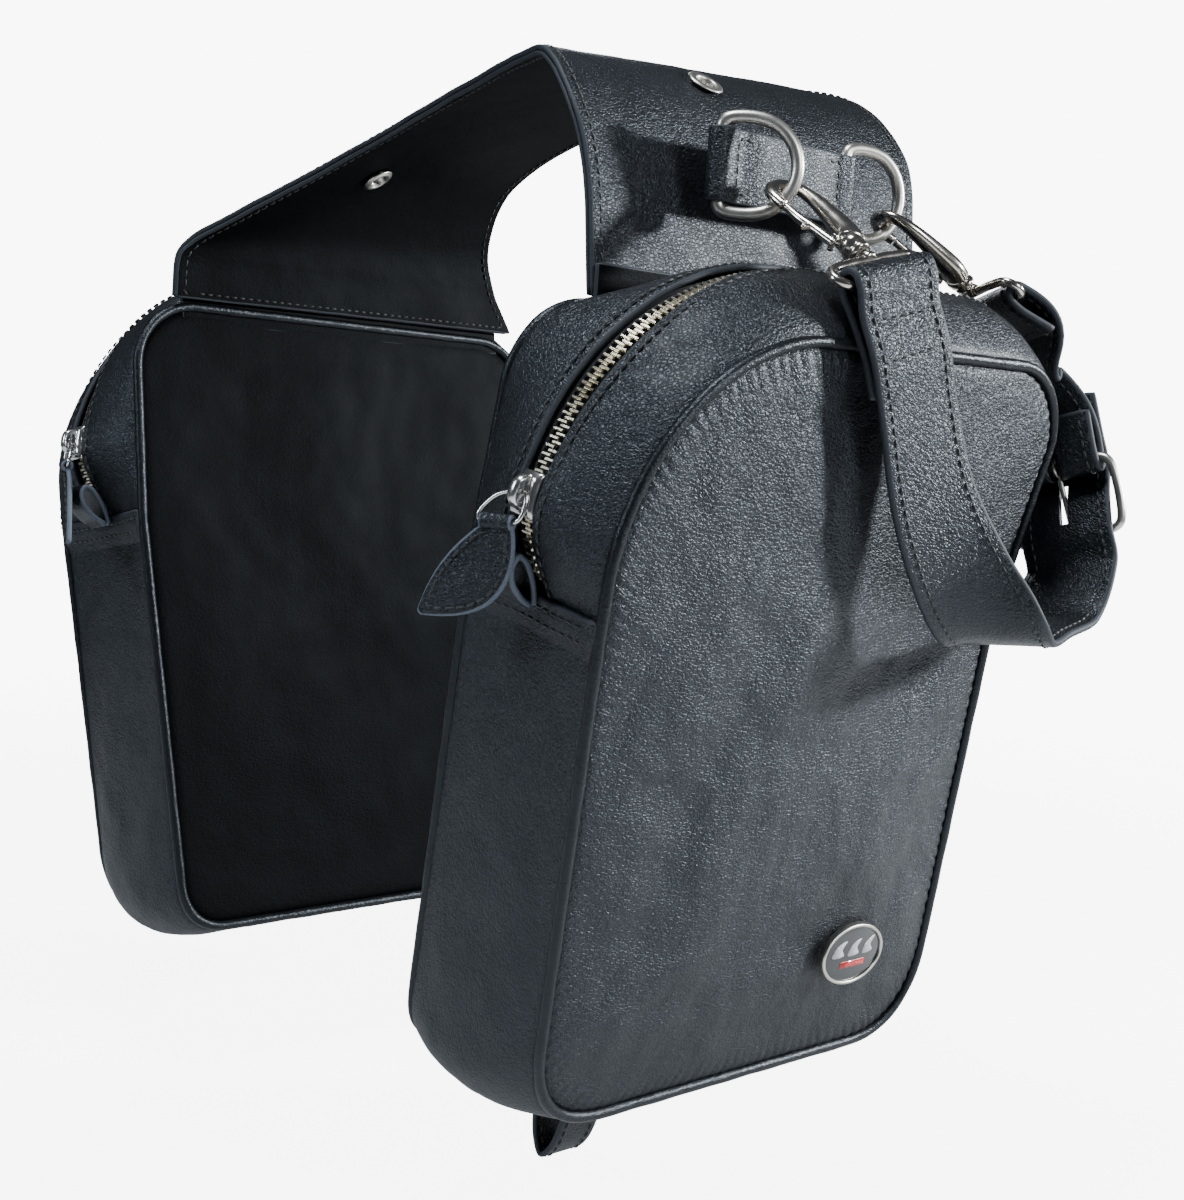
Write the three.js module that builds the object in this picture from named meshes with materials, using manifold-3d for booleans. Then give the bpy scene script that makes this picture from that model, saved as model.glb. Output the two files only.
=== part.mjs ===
// A pair of leather saddle bags: two zipped bags on a leather yoke, with D-rings, eyelets
// and a clipped-on strap.
// Millimetres, +Z up. +X runs from the far bag to the near bag, -Y is the side where both zips start.
// Bag shapes are drawn on the seam frame: z = 0 at the two seams where the bags join the yoke.
import * as THREE from 'three';
import { mergeVertices } from 'three/addons/utils/BufferGeometryUtils.js';
import Module from 'manifold-3d';

const wasm = await Module();
wasm.setup();

// ---- driving dimensions ----
const SEAM_X = 141;                          // half the distance between the two bag seams
const SEAT_HEIGHT = 102;                     // the yoke's underside above the seams, at its middle
const TILT = THREE.MathUtils.degToRad(10.5); // each bag hangs inward by this angle
const BAG_DEPTH = 76;
const BAG_BOTTOM = 302;                      // seam to bottom edge
const LEATHER = 2.5;
const PIPING_RADIUS = 2.3;
const PANEL_INSET = 3.3;                     // panel edge to the middle of the piping
const PANEL_BULGE = 9;
const ZIP_Q = 38;                            // middle of the zip, from the inner panel
const ZIP_HALF_GAP = 6.5;
const ZIP_CENTRE_Y = -33;                    // centre of the arc that the zip follows round the shoulder
const ZIP_CENTRE_H = 88;
const ZIP_RADIUS = 112;
const SLIDER_ANGLE = 11;                     // degrees along that arc, up from its lower end
const STRAP_WIDTH = 38;
const STRAP_THICK = 3.4;
const WIRE_RADIUS = 2.6;

const LEATHER_LOOK = { color: 0x15161a, roughness: 0.5, metalness: 0 };
const TAPE_LOOK = { color: 0x0c0c0e, roughness: 0.9, metalness: 0 };
const NICKEL_LOOK = { color: 0xb9b6ae, roughness: 0.3, metalness: 1 };
const TOOTH_LOOK = { color: 0xc8bc9c, roughness: 0.35, metalness: 1 };
const BADGE_LOOK = { color: 0x08080a, roughness: 0.15, metalness: 0.2 };

const model = new THREE.Group();
model.position.z = -SEAT_HEIGHT;

const vec = (x, y, z) => new THREE.Vector3(x, y, z);

// ---- general solids ----

// A closed body from positions and triangles, with its faces turned outward.
function body(positions, triangles) {
  const geometry = new THREE.BufferGeometry();
  geometry.setAttribute('position', new THREE.Float32BufferAttribute(positions, 3));
  let volume = 0;
  const point = (i) => vec(positions[3 * i], positions[3 * i + 1], positions[3 * i + 2]);
  for (let i = 0; i < triangles.length; i += 3) {
    const [a, b, c] = [point(triangles[i]), point(triangles[i + 1]), point(triangles[i + 2])];
    volume += a.dot(b.cross(c));
  }
  if (volume < 0) {
    triangles.reverse();
  }
  geometry.setIndex(triangles);
  return geometry;
}

// Joins rings of points, each a closed loop with an even number of points, into one solid.
function loft(rings, closed = false) {
  const positions = rings.flat().flatMap((p) => [p.x, p.y, p.z]);
  const count = rings[0].length;
  const triangles = [];
  const last = closed ? rings.length : rings.length - 1;
  for (let r = 0; r < last; r++) {
    const here = r * count;
    const there = ((r + 1) % rings.length) * count;
    for (let i = 0; i < count; i++) {
      const j = (i + 1) % count;
      const [a, b, c, d] = [here + i, here + j, there + j, there + i];
      triangles.push(...(i < count / 2 ? [a, b, c, a, c, d] : [a, b, d, b, c, d]));
    }
  }
  if (!closed) {
    const end = (rings.length - 1) * count;
    for (let i = 0; i < count / 2 - 1; i++) {
      const [a, b, c, d] = [i, i + 1, count - 2 - i, count - 1 - i];
      triangles.push(a, c, b, a, d, c);
      triangles.push(end + a, end + b, end + c, end + a, end + c, end + d);
    }
  }
  return body(positions, triangles);
}

// A sheet of leather: a grid of surface points, given thickness between two offsets along its normals.
function sheet(grid, low, high) {
  const rows = grid.length;
  const columns = grid[0].length;
  const offset = (r, c, distance) => {
    const along = grid[Math.min(r + 1, rows - 1)][c].clone().sub(grid[Math.max(r - 1, 0)][c]);
    const across = grid[r][Math.min(c + 1, columns - 1)].clone().sub(grid[r][Math.max(c - 1, 0)]);
    return grid[r][c].clone().addScaledVector(along.cross(across).normalize(), distance);
  };
  const rings = grid.map((row, r) => {
    const top = row.map((_, c) => offset(r, c, high));
    const bottom = row.map((_, c) => offset(r, c, low)).reverse();
    return top.concat(bottom);
  });
  return loft(rings);
}

// A round bar along a path, with a radius that may change along it.
function bar(points, radius, sides = 8, closed = false, perSpan = 2) {
  const curve = new THREE.CatmullRomCurve3(points, closed, 'centripetal');
  const steps = closed ? points.length * perSpan : (points.length - 1) * perSpan;
  const frames = curve.computeFrenetFrames(steps, closed);
  const rings = [];
  for (let s = 0; s < steps + (closed ? 0 : 1); s++) {
    const centre = curve.getPointAt(s / steps);
    const size = typeof radius === 'function' ? radius(s / steps) : radius;
    rings.push(circle(centre, frames.normals[s], frames.binormals[s], size, sides));
  }
  return loft(rings, closed);
}

function circle(centre, u, v, radius, sides) {
  return Array.from({ length: sides }, (_, i) => {
    const a = (2 * Math.PI * i) / sides;
    return centre.clone().addScaledVector(u, radius * Math.cos(a)).addScaledVector(v, radius * Math.sin(a));
  });
}

// A flat strap along a path: at each station a rectangle whose long side follows the given width direction.
function ribbon(points, widths, width, thick, perSpan = 4) {
  const curve = new THREE.CatmullRomCurve3(points, false, 'centripetal');
  const wide = new THREE.CatmullRomCurve3(widths, false, 'centripetal');
  const steps = (points.length - 1) * perSpan;
  const rings = [];
  for (let s = 0; s <= steps; s++) {
    const t = s / steps;
    const centre = curve.getPoint(t);
    const tangent = curve.getTangent(t);
    const across = wide.getPoint(t).projectOnPlane(tangent).normalize();
    const face = across.clone().cross(tangent).normalize();
    const corner = (a, b) => centre.clone().addScaledVector(across, a).addScaledVector(face, b);
    const [w, h] = [width / 2, thick / 2];
    rings.push([corner(-w, -h), corner(w, -h), corner(w, h), corner(-w, h)]);
  }
  return loft(rings);
}

function toManifold(geometry) {
  const bare = geometry.clone();
  bare.deleteAttribute('normal');
  bare.deleteAttribute('uv');
  const merged = mergeVertices(bare, 1e-4);
  const vertProperties = new Float32Array(merged.attributes.position.array);
  const triVerts = new Uint32Array(merged.index.array);
  return new wasm.Manifold(new wasm.Mesh({ numProp: 3, vertProperties, triVerts }));
}

function fromManifold(solid) {
  const mesh = solid.getMesh();
  const geometry = new THREE.BufferGeometry();
  geometry.setAttribute('position', new THREE.BufferAttribute(mesh.vertProperties, 3));
  geometry.setIndex(Array.from(mesh.triVerts));
  return geometry;
}

function union(...geometries) {
  return fromManifold(geometries.map(toManifold).reduce((a, b) => a.add(b)));
}

function cut(geometry, tool) {
  return fromManifold(toManifold(geometry).subtract(toManifold(tool)));
}

function add(name, geometry, look) {
  const mesh = new THREE.Mesh(geometry, new THREE.MeshStandardMaterial(look));
  mesh.name = name;
  model.add(mesh);
}

function mirrored(geometry) {
  const copy = geometry.clone().scale(-1, 1, 1);
  const index = Array.from(copy.index.array).reverse();
  copy.setIndex(index);
  return copy;
}

// Adds a piece of the near bag and its mirror image on the far bag.
function addPair(name, geometry, look) {
  add(`near_${name}`, geometry, look);
  add(`far_${name}`, mirrored(geometry), look);
}

// ---- yoke ----

// Three lines over the saddle, from the far seam to the near seam: front edge, middle and rear edge.
const YOKE_FRONT = [
  vec(-141, -110, 2), vec(-139, -110, 22), vec(-134, -106, 30), vec(-110, -95, 43),
  vec(-53, -68, 74), vec(10, -62, 95), vec(62, -74, 101),
  vec(97, -88, 97), vec(121, -95, 77), vec(133, -95, 52), vec(141, -95, 2),
];
const YOKE_MIDDLE = [
  vec(-142, -8, 2), vec(-143, -8, 22), vec(-141, -9, 42), vec(-124, -10, 66),
  vec(-75, -6, 92), vec(0, 2, 107), vec(62, 2, 110),
  vec(98, 0, 102), vec(124, 1, 80), vec(136, 2, 50), vec(141, 2, 2),
];
const YOKE_REAR = [
  vec(-141, 99, 2), vec(-143, 87, 24), vec(-142, 81, 48), vec(-130, 83, 78),
  vec(-85, 96, 106), vec(0, 102, 118), vec(66, 103, 117),
  vec(102, 103, 106), vec(125, 105, 82), vec(135, 101, 48), vec(141, 98, 2),
];
const YOKE_STEPS = 26;
const YOKE_ROWS = 5;

function yokeGrid() {
  const curve = (points) => new THREE.CatmullRomCurve3(points, false, 'centripetal');
  const lines = [YOKE_FRONT, YOKE_MIDDLE, YOKE_REAR].map(curve);
  const grid = [];
  for (let s = 0; s <= YOKE_STEPS; s++) {
    const across = new THREE.CatmullRomCurve3(lines.map((line) => line.getPoint(s / YOKE_STEPS)));
    grid.push(Array.from({ length: YOKE_ROWS + 1 }, (_, i) => across.getPoint(i / YOKE_ROWS)));
  }
  return grid;
}

function addYoke() {
  const grid = yokeGrid();
  addEyelets(sheet(grid, -2, 0), sheet(grid, -4.4, -2.9));
}

// ---- D-rings on their leather straps ----

const STRAP_BAR_X = 150;       // the D-rings' straight bars stand off the yoke's side
const NEAR_RING = { z: 56, ys: [-43, 32], turns: [45, 78] };
const FAR_RING = { z: 38, ys: [-43, 32], turns: [62, 78] };
const RING_HALF = 18.4;        // half the height of the D, to the middle of its wire
const RING_LEG = 12;

// A closed leather band, standing on edge, that wraps both straight bars.
function ringBand(z) {
  const wall = 1.7;
  const half = WIRE_RADIUS + 0.5;
  const [first, last] = NEAR_RING.ys;
  const outline = (path, r) => {
    path.absarc(STRAP_BAR_X, last, r, 0, Math.PI, false);
    path.absarc(STRAP_BAR_X, first, r, Math.PI, 2 * Math.PI, false);
    path.closePath();
    return path;
  };
  const shape = outline(new THREE.Shape(), half + wall);
  shape.holes.push(outline(new THREE.Path(), half));
  const height = 27;
  const band = new THREE.ExtrudeGeometry(shape, { depth: height, bevelEnabled: false, curveSegments: 8 });
  return fromManifold(toManifold(band.translate(0, 0, z - height / 2)));
}

// A D-shaped wire ring on its straight bar, turned about the bar from straight out towards the rear.
function dRing(y, z, turn) {
  const points = [];
  for (let i = -1; i <= 1; i++) {
    points.push(vec(0, 0, i * 12));
  }
  points.push(vec(1.5, 0, RING_HALF - 1.5));
  const arcSteps = 6;
  for (let i = 0; i <= arcSteps; i++) {
    const a = Math.PI / 2 - (Math.PI * i) / arcSteps;
    points.push(vec(RING_LEG + RING_HALF * Math.cos(a), 0, RING_HALF * Math.sin(a)));
  }
  points.push(vec(1.5, 0, 1.5 - RING_HALF));
  const ring = bar(points, WIRE_RADIUS, 8, true);
  return ring.rotateZ(THREE.MathUtils.degToRad(turn)).translate(STRAP_BAR_X, y, z);
}

function addRings() {
  add('near_ring_strap', ringBand(NEAR_RING.z), LEATHER_LOOK);
  add('far_ring_strap', mirrored(ringBand(FAR_RING.z)), LEATHER_LOOK);
  ['front', 'rear'].forEach((place, i) => {
    add(`near_${place}_dring`, dRing(NEAR_RING.ys[i], NEAR_RING.z, NEAR_RING.turns[i]), NICKEL_LOOK);
    add(`far_${place}_dring`, mirrored(dRing(FAR_RING.ys[i], FAR_RING.z, FAR_RING.turns[i])), NICKEL_LOOK);
  });
}

// ---- bag surfaces ----

// A point of the near bag: q out from the inner panel, y along the bag, h down from the seam.
function bagPoint(q, y, h) {
  const x = SEAM_X - h * Math.sin(TILT) + q * Math.cos(TILT);
  return vec(x, y, -h * Math.cos(TILT) - q * Math.sin(TILT));
}

const FRONT_SEAM_H = 107;
const HALF_TURN = Math.PI;
const THREE_QUARTERS = 1.5 * Math.PI;

// The bag's edge over the top, from the front lapped seam to the rear one, in (y, h).
function upperEdge(kind) {
  const path = new THREE.Path();
  if (kind === 'inner') {
    path.moveTo(-131, FRONT_SEAM_H);
    path.lineTo(-130, 35);
    path.absarc(-98, 35, 32, HALF_TURN, THREE_QUARTERS, false);
    path.absarc(80, 36, 32, THREE_QUARTERS, 2 * Math.PI, false);
    path.lineTo(112, FRONT_SEAM_H);
  } else if (kind === 'outer') {
    path.moveTo(-132, FRONT_SEAM_H);
    path.lineTo(-133, 86);
    path.absarc(-45, 86, 88, HALF_TURN, THREE_QUARTERS, false);
    path.absarc(76, 32, 35, THREE_QUARTERS, 1.95 * Math.PI, false);
    path.lineTo(99, FRONT_SEAM_H);
  } else {
    path.moveTo(-129, FRONT_SEAM_H);
    path.bezierCurveTo(-129.5, 98, -142, 90, -143.9, 72.4);
    path.absarc(ZIP_CENTRE_Y, ZIP_CENTRE_H, ZIP_RADIUS, 1.0444 * HALF_TURN, THREE_QUARTERS, false);
    path.absarc(64, 34, 58, THREE_QUARTERS, 2 * Math.PI, false);
    path.lineTo(114, FRONT_SEAM_H);
  }
  return path;
}

// The bag's edge under the bottom, from the rear lapped seam to the front one.
function lowerEdge(kind) {
  const path = new THREE.Path();
  const grow = kind === 'middle' ? 5 : 0;
  const front = { inner: -131, outer: -132, middle: -129 }[kind];
  const rear = { inner: 112, outer: 99, middle: 114 }[kind];
  const corner = kind === 'outer' ? 40 : 24;
  const floor = BAG_BOTTOM + grow;
  path.moveTo(rear, FRONT_SEAM_H);
  path.lineTo(109 + grow, floor - corner);
  path.quadraticCurveTo(109 + grow, floor, 109 + grow - corner, floor);
  path.lineTo(corner - 119 - grow, floor);
  path.quadraticCurveTo(-119 - grow, floor, -120 - grow, floor - corner);
  path.lineTo(front, FRONT_SEAM_H);
  return path;
}

const UPPER_STEPS = 22;
const LOWER_STEPS = 20;
const CROWN_POWER = 2.4;

// The gusset's surface on one stretch of edge: rows along the edge, columns from qLow to qHigh.
function gussetGrid(edge, steps, qLow, qHigh, columns, trim = 0) {
  const rails = ['inner', 'middle', 'outer'].map((kind) => {
    const path = edge(kind);
    return (t) => path.getPointAt(t);
  });
  const grid = [];
  for (let s = 0; s <= steps; s++) {
    const t = trim + ((1 - 2 * trim) * s) / steps;
    const [inner, middle, outer] = rails.map((rail) => rail(t));
    const crown = middle.clone().sub(inner.clone().lerp(outer, 0.5));
    grid.push(Array.from({ length: columns + 1 }, (_, c) => {
      const q = qLow + ((qHigh - qLow) * c) / columns;
      const lift = 1 - Math.abs((2 * q) / BAG_DEPTH - 1) ** CROWN_POWER;
      const p = inner.clone().lerp(outer, q / BAG_DEPTH).addScaledVector(crown, lift);
      return bagPoint(q, p.x, p.y);
    }));
  }
  return grid;
}

// The whole edge of a panel, moved in from the piping.
function panelOutline(kind, inset) {
  const upper = upperEdge(kind).getSpacedPoints(19).slice(0, -1);
  const lower = lowerEdge(kind).getSpacedPoints(19).slice(0, -1);
  const loop = upper.concat(lower);
  return loop.map((p, i) => {
    const before = loop[(i + loop.length - 1) % loop.length];
    const after = loop[(i + 1) % loop.length];
    const along = after.clone().sub(before).normalize();
    return p.clone().add(new THREE.Vector2(-along.y, along.x).multiplyScalar(inset));
  });
}

const PANEL_MIDDLE = new THREE.Vector2(-12, 160);

function panelLift(k) {
  return PANEL_BULGE * (1 - k ** 2.5);
}

// A panel as rings shrinking to its middle, with two faces LEATHER apart.
function panel(kind, base, bulge) {
  const outline = panelOutline(kind, PANEL_INSET);
  const scales = bulge ? [1, 0.88, 0.7, 0.4] : [1];
  const positions = [];
  const triangles = [];
  const count = outline.length;
  const push = (q, p) => {
    const v = bagPoint(q, p.x, p.y);
    positions.push(v.x, v.y, v.z);
    return positions.length / 3 - 1;
  };
  const faces = [0, LEATHER].map((depth) => {
    const rings = scales.map((k) => outline.map((p) => {
      const lift = bulge ? panelLift(k) : 0;
      return push(base + depth + lift, PANEL_MIDDLE.clone().lerp(p, k));
    }));
    const middle = push(base + depth + (bulge ? panelLift(0) : 0), PANEL_MIDDLE);
    return { rings, middle };
  });
  faces.forEach(({ rings, middle }, side) => {
    const turn = (a, b, c) => triangles.push(...(side ? [a, b, c] : [a, c, b]));
    for (let i = 0; i < count; i++) {
      const j = (i + 1) % count;
      for (let r = 0; r + 1 < rings.length; r++) {
        turn(rings[r][i], rings[r][j], rings[r + 1][j]);
        turn(rings[r][i], rings[r + 1][j], rings[r + 1][i]);
      }
      turn(rings.at(-1)[i], rings.at(-1)[j], middle);
    }
  });
  for (let i = 0; i < count; i++) {
    const j = (i + 1) % count;
    const [low, high] = [faces[0].rings[0], faces[1].rings[0]];
    triangles.push(high[i], low[i], low[j], high[i], low[j], high[j]);
  }
  return body(positions, triangles);
}

function piping(kind, q) {
  const loop = panelOutline(kind, 0);
  const centre = loop.map((p) => bagPoint(q, p.x, p.y));
  const across = bagPoint(1, 0, 0).sub(bagPoint(0, 0, 0));
  const rings = centre.map((p, i) => {
    const along = centre[(i + 1) % centre.length].clone().sub(centre.at(i - 1)).normalize();
    return circle(p, across, across.clone().cross(along), PIPING_RADIUS, 6);
  });
  return loft(rings, true);
}

function addBagShells() {
  addPair('inner_panel', panel('inner', 0, false), LEATHER_LOOK);
  addPair('outer_panel', panel('outer', BAG_DEPTH - LEATHER, true), LEATHER_LOOK);
  addPair('inner_piping', piping('inner', 0.3), LEATHER_LOOK);
  addPair('outer_piping', piping('outer', BAG_DEPTH - 0.8), LEATHER_LOOK);
  const gusset = gussetGrid(lowerEdge, LOWER_STEPS, 3.6, BAG_DEPTH - 4.4, 5, 0.002);
  addPair('lower_gusset', sheet(gusset, -LEATHER / 2, LEATHER / 2), LEATHER_LOOK);
}

// ---- zip ----

const ZIP_TRIM = 0.004;

function addZip() {
  const stripLow = gussetGrid(upperEdge, UPPER_STEPS, 3.6, ZIP_Q - ZIP_HALF_GAP, 3, ZIP_TRIM);
  const stripHigh = gussetGrid(upperEdge, UPPER_STEPS, ZIP_Q + ZIP_HALF_GAP, BAG_DEPTH - 4.4, 3, ZIP_TRIM);
  addPair('inner_zip_strip', sheet(stripLow, -LEATHER / 2, LEATHER / 2), LEATHER_LOOK);
  addPair('outer_zip_strip', sheet(stripHigh, -LEATHER / 2, LEATHER / 2), LEATHER_LOOK);
  const tape = gussetGrid(upperEdge, UPPER_STEPS, ZIP_Q - 12, ZIP_Q + 12, 2, 0.02);
  addPair('zip_tape', sheet(tape, 4.2, 5.2), TAPE_LOOK);
  const teeth = gussetGrid(upperEdge, UPPER_STEPS, ZIP_Q - 3.6, ZIP_Q + 3.6, 2, 0.03);
  addPair('zip_teeth', sheet(teeth, 1.6, 3.2), TOOTH_LOOK);
}

// A frame on the zip's arc: out of the bag, up along the zip, and across it.
function zipFrame(angle) {
  const a = THREE.MathUtils.degToRad(angle);
  const at = (r, turn = 0) => {
    const b = a + turn / ZIP_RADIUS;
    return (q) => bagPoint(ZIP_Q + q, ZIP_CENTRE_Y - r * Math.cos(b), ZIP_CENTRE_H - r * Math.sin(b));
  };
  return (out, along, across) => at(ZIP_RADIUS + out, along)(across);
}

const zipPlace = zipFrame(SLIDER_ANGLE);
const SLIDER_LENGTH = 15;
const LUG_OUT = 5.6;

function slider() {
  const rings = [];
  for (let i = 0; i <= 4; i++) {
    const along = SLIDER_LENGTH * (i / 4 - 0.5);
    const wide = 6 - 0.8 * (i / 4);
    const half = [[wide, 2.6], [wide, -1.8], [wide - 0.8, -1.8], [wide - 0.8, 0.4]];
    const section = half.concat(half.map(([across, out]) => [-across, out]).reverse());
    rings.push(section.map(([across, out]) => zipPlace(out, along, across)));
  }
  const lug = [[2.4, -4.4], [5.4, -4], [LUG_OUT + 1.6, -1.2], [LUG_OUT + 1.6, 1.2], [5.4, 4], [2.4, 4.4]];
  return union(loft(rings), bar(lug.map(([out, along]) => zipPlace(out, along, 0)), 1.2, 8));
}

const extrude = (shape, depth, curveSegments) => new THREE.ExtrudeGeometry(shape, {
  depth, bevelEnabled: false, curveSegments,
});

// A point from an origin and three directions.
const placer = (origin, u, v, w) => (a, b, c = 0) => origin.clone()
  .addScaledVector(u, a).addScaledVector(v, b).addScaledVector(w, c);

// The pull hangs below the lug with its face to the front. Its points are right, down and
// out from the ring's bar.
const PULL_RIGHT = vec(0.935, 0.352, 0);
const PULL_OUT = vec(0.352, -0.935, 0);
const PULL_BAR = zipPlace(LUG_OUT - 1.3, 0, 0).add(vec(-5.8, -4.4, -11));
const onPull = placer(PULL_BAR, PULL_RIGHT, vec(0, 0, -1), PULL_OUT);
const PULL_WIRE = 0.8;
const LEAF_THICK = 2.4;

function pullRing() {
  const straight = [[-6.5, 0, 0], [0, 0, 0], [6.5, 0, 0]];
  const turn = [[8.6, -1.4, -0.2], [10, -6, -1], [9.4, -10, -1.9], [7, -11, -2.07]];
  const back = [[4.4, -10.8, -2.07], [-1.5, -9, -1.6], [-6.2, -4.8, -0.8], [-7.8, -1.6, -0.2]];
  const points = [...straight, ...turn, ...back];
  return bar(points.map((p) => onPull(...p)), PULL_WIRE, 6, true);
}

// The leaf is folded round the ring's bar and hangs down to a point on the yoke's side.
function pullLeaf() {
  const half = 5.6;
  const shape = new THREE.Shape();
  shape.moveTo(half, 2);
  shape.bezierCurveTo(8, 10, 6.5, 22, -2, 28.5);
  shape.bezierCurveTo(-9, 33.5, -18, 34.6, -27.3, 34.9);
  shape.quadraticCurveTo(-29.4, 34, -28.4, 32);
  shape.bezierCurveTo(-25, 22, -19, 12, -half, 2);
  const plate = extrude(shape, LEAF_THICK, 7);
  plate.translate(0, 0, -LEAF_THICK / 2);
  const fold = new THREE.CylinderGeometry(2.9, 2.9, 2 * half, 12).rotateZ(Math.PI / 2);
  const bore = new THREE.CylinderGeometry(1.3, 1.3, 2 * half + 2, 8).rotateZ(Math.PI / 2);
  const leaf = cut(union(plate, fold), bore);
  const frame = new THREE.Matrix4().makeBasis(PULL_RIGHT, vec(0, 0, -1), PULL_OUT).setPosition(PULL_BAR);
  leaf.applyMatrix4(frame);
  return body(Array.from(leaf.attributes.position.array), Array.from(leaf.index.array));
}

// A folded tab of leather standing at the zip's lower end, shaped like a drop, in (y, h).
function endLoop() {
  const drop = [[-133.4, 105.6], [-135.2, 99.5], [-138.6, 93.2]];
  drop.push([-141.8, 89.5], [-145, 88.6], [-147, 91.5]);
  drop.push([-146.4, 97], [-141, 103.2], [-136, 106.2]);
  const points = drop.map(([y, h]) => bagPoint(ZIP_Q - 3, y, h));
  const across = bagPoint(1, 0, 0).sub(bagPoint(0, 0, 0));
  return ribbon(points, points.map(() => across), 12, 1.6, 2);
}

function addPulls() {
  addPair('zip_slider', slider(), NICKEL_LOOK);
  addPair('pull_ring', pullRing(), NICKEL_LOOK);
  addPair('pull_leaf', pullLeaf(), LEATHER_LOOK);
  addPair('zip_end_loop', endLoop(), LEATHER_LOOK);
}

// ---- loop under each bag, and badge on each outer panel ----

const LOOP_Y = -42;
const LOOP_WIDTH = 20;

function bottomLoop() {
  const path = [[13, 312], [13, 335], [17, 352], [22, 358], [27, 352], [31, 335], [31, 312.5]];
  const points = path.map(([q, h]) => bagPoint(q, LOOP_Y, h));
  return ribbon(points, points.map(() => vec(0, 1, 0)), LOOP_WIDTH, 2.4, 4);
}

const BADGE = { y: 43, h: 250, halfWide: 20, halfTall: 13.5, thick: 3 };

function badge() {
  const shape = new THREE.Shape();
  shape.absellipse(0, 0, BADGE.halfWide, BADGE.halfTall, 0, 2 * Math.PI, false);
  const plate = extrude(shape, BADGE.thick, 28);
  const solid = fromManifold(toManifold(plate));
  const along = bagPoint(0, 1, 0).sub(bagPoint(0, 0, 0));
  const up = bagPoint(-0.09, 0, -1).sub(bagPoint(0, 0, 0)).normalize();
  const out = along.clone().cross(up).normalize();
  const place = new THREE.Matrix4().makeBasis(along, up, out);
  place.setPosition(bagPoint(BAG_DEPTH + PANEL_BULGE - 0.9, BADGE.y, BADGE.h));
  solid.applyMatrix4(place);
  return body(Array.from(solid.attributes.position.array), Array.from(solid.index.array));
}

// ---- clip-on strap ----

// Each hook hangs on a D-ring's wire: where, which way its eye lies from there, along the
// eye's bar, and to its gate.
const HOOK_LENGTH = 58.4;      // from the ring's wire to the eye's bar
const FRONT_HOOK = {
  name: 'front',
  grip: vec(169.6, -23.4, 46.5),
  lie: vec(0.838, 0.042, -0.545),
  wide: vec(0.1, 0.96, 0.26),
  gate: vec(0.07, -0.9, -0.28),
};
const REAR_HOOK = {
  name: 'rear',
  grip: vec(155.6, 58.5, 45.4),
  lie: vec(0.427, 0.747, -0.509),
  wide: vec(0.9, -0.2, 0.1),
  gate: vec(-0.9, 0.41, -0.15),
};
for (const hook of [FRONT_HOOK, REAR_HOOK]) {
  hook.eye = hook.grip.clone().addScaledVector(hook.lie.normalize(), HOOK_LENGTH);
}
const HOOK_BEND = 8.6;         // radius of the hook's bend, to the middle of its bar
const EYE_DEPTH = 13.5;
const EYE_HALF = 23;
const EYE_BAR = 2;
const SLACK = 1.1;             // room between a strap and the bar that it is folded round

// A hook's own axes: from its eye to its tip, along the eye's bar, and towards its gate.
function hookFrame(hook) {
  const axis = hook.grip.clone().sub(hook.eye).normalize();
  const wide = hook.wide.clone().projectOnPlane(axis).normalize();
  const gate = hook.gate.clone().projectOnPlane(axis).normalize();
  const reach = HOOK_LENGTH - 2.5;
  return { axis, wide, gate, reach };
}

function hookBody(hook) {
  const { axis, gate, reach } = hookFrame(hook);
  const at = placer(hook.eye, axis, gate, gate);
  const points = [at(EYE_DEPTH + 3, 0), at(EYE_DEPTH + 9, -3.5)];
  points.push(at(reach - 12, -7.8), at(reach, -HOOK_BEND));
  for (const angle of [45, 90, 135, 180]) {
    const a = THREE.MathUtils.degToRad(angle);
    points.push(at(reach + HOOK_BEND * Math.sin(a), -HOOK_BEND * Math.cos(a)));
  }
  points.push(at(reach - 4, HOOK_BEND));
  const size = (t) => (t < 0.45 ? 4.2 - 1.6 * (t / 0.45) : 2.6);
  const collar = bar([at(EYE_DEPTH + 2, 0), at(EYE_DEPTH + 6, 0), at(EYE_DEPTH + 10, 0)], 4.6, 12);
  return union(bar(points, size, 8), collar);
}

const GATE_START = 23.5;         // from the eye's bar to the gate's pivot

function hookGate(hook) {
  const { axis, gate, reach } = hookFrame(hook);
  const at = placer(hook.eye, axis, gate, gate);
  const points = [at(GATE_START, 6.8), at(reach - 14, HOOK_BEND + 0.6), at(reach - 7.4, HOOK_BEND)];
  return bar(points, (t) => 2.2 - 0.3 * t, 8);
}

function hookEye(hook) {
  const { axis, wide } = hookFrame(hook);
  const at = placer(hook.eye, axis, wide, wide);
  const [w, d] = [EYE_HALF, EYE_DEPTH - 3];
  const half = [[0, 0], [0, w - 3], [4, w], [8.8, w - 2.4], [d, w - 12]];
  const other = half.slice(1).reverse().map(([a, c]) => [a, -c]);
  const loop = [...half, [d, 0], ...other].map(([a, c]) => at(a, c));
  const neck = bar([at(EYE_DEPTH - 3, 0), at(EYE_DEPTH - 1, 0), at(EYE_DEPTH + 0.6, 0)], 3.2, 10);
  return union(bar(loop, EYE_BAR, 8, true), neck);
}

// ---- buckle ----

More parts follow.
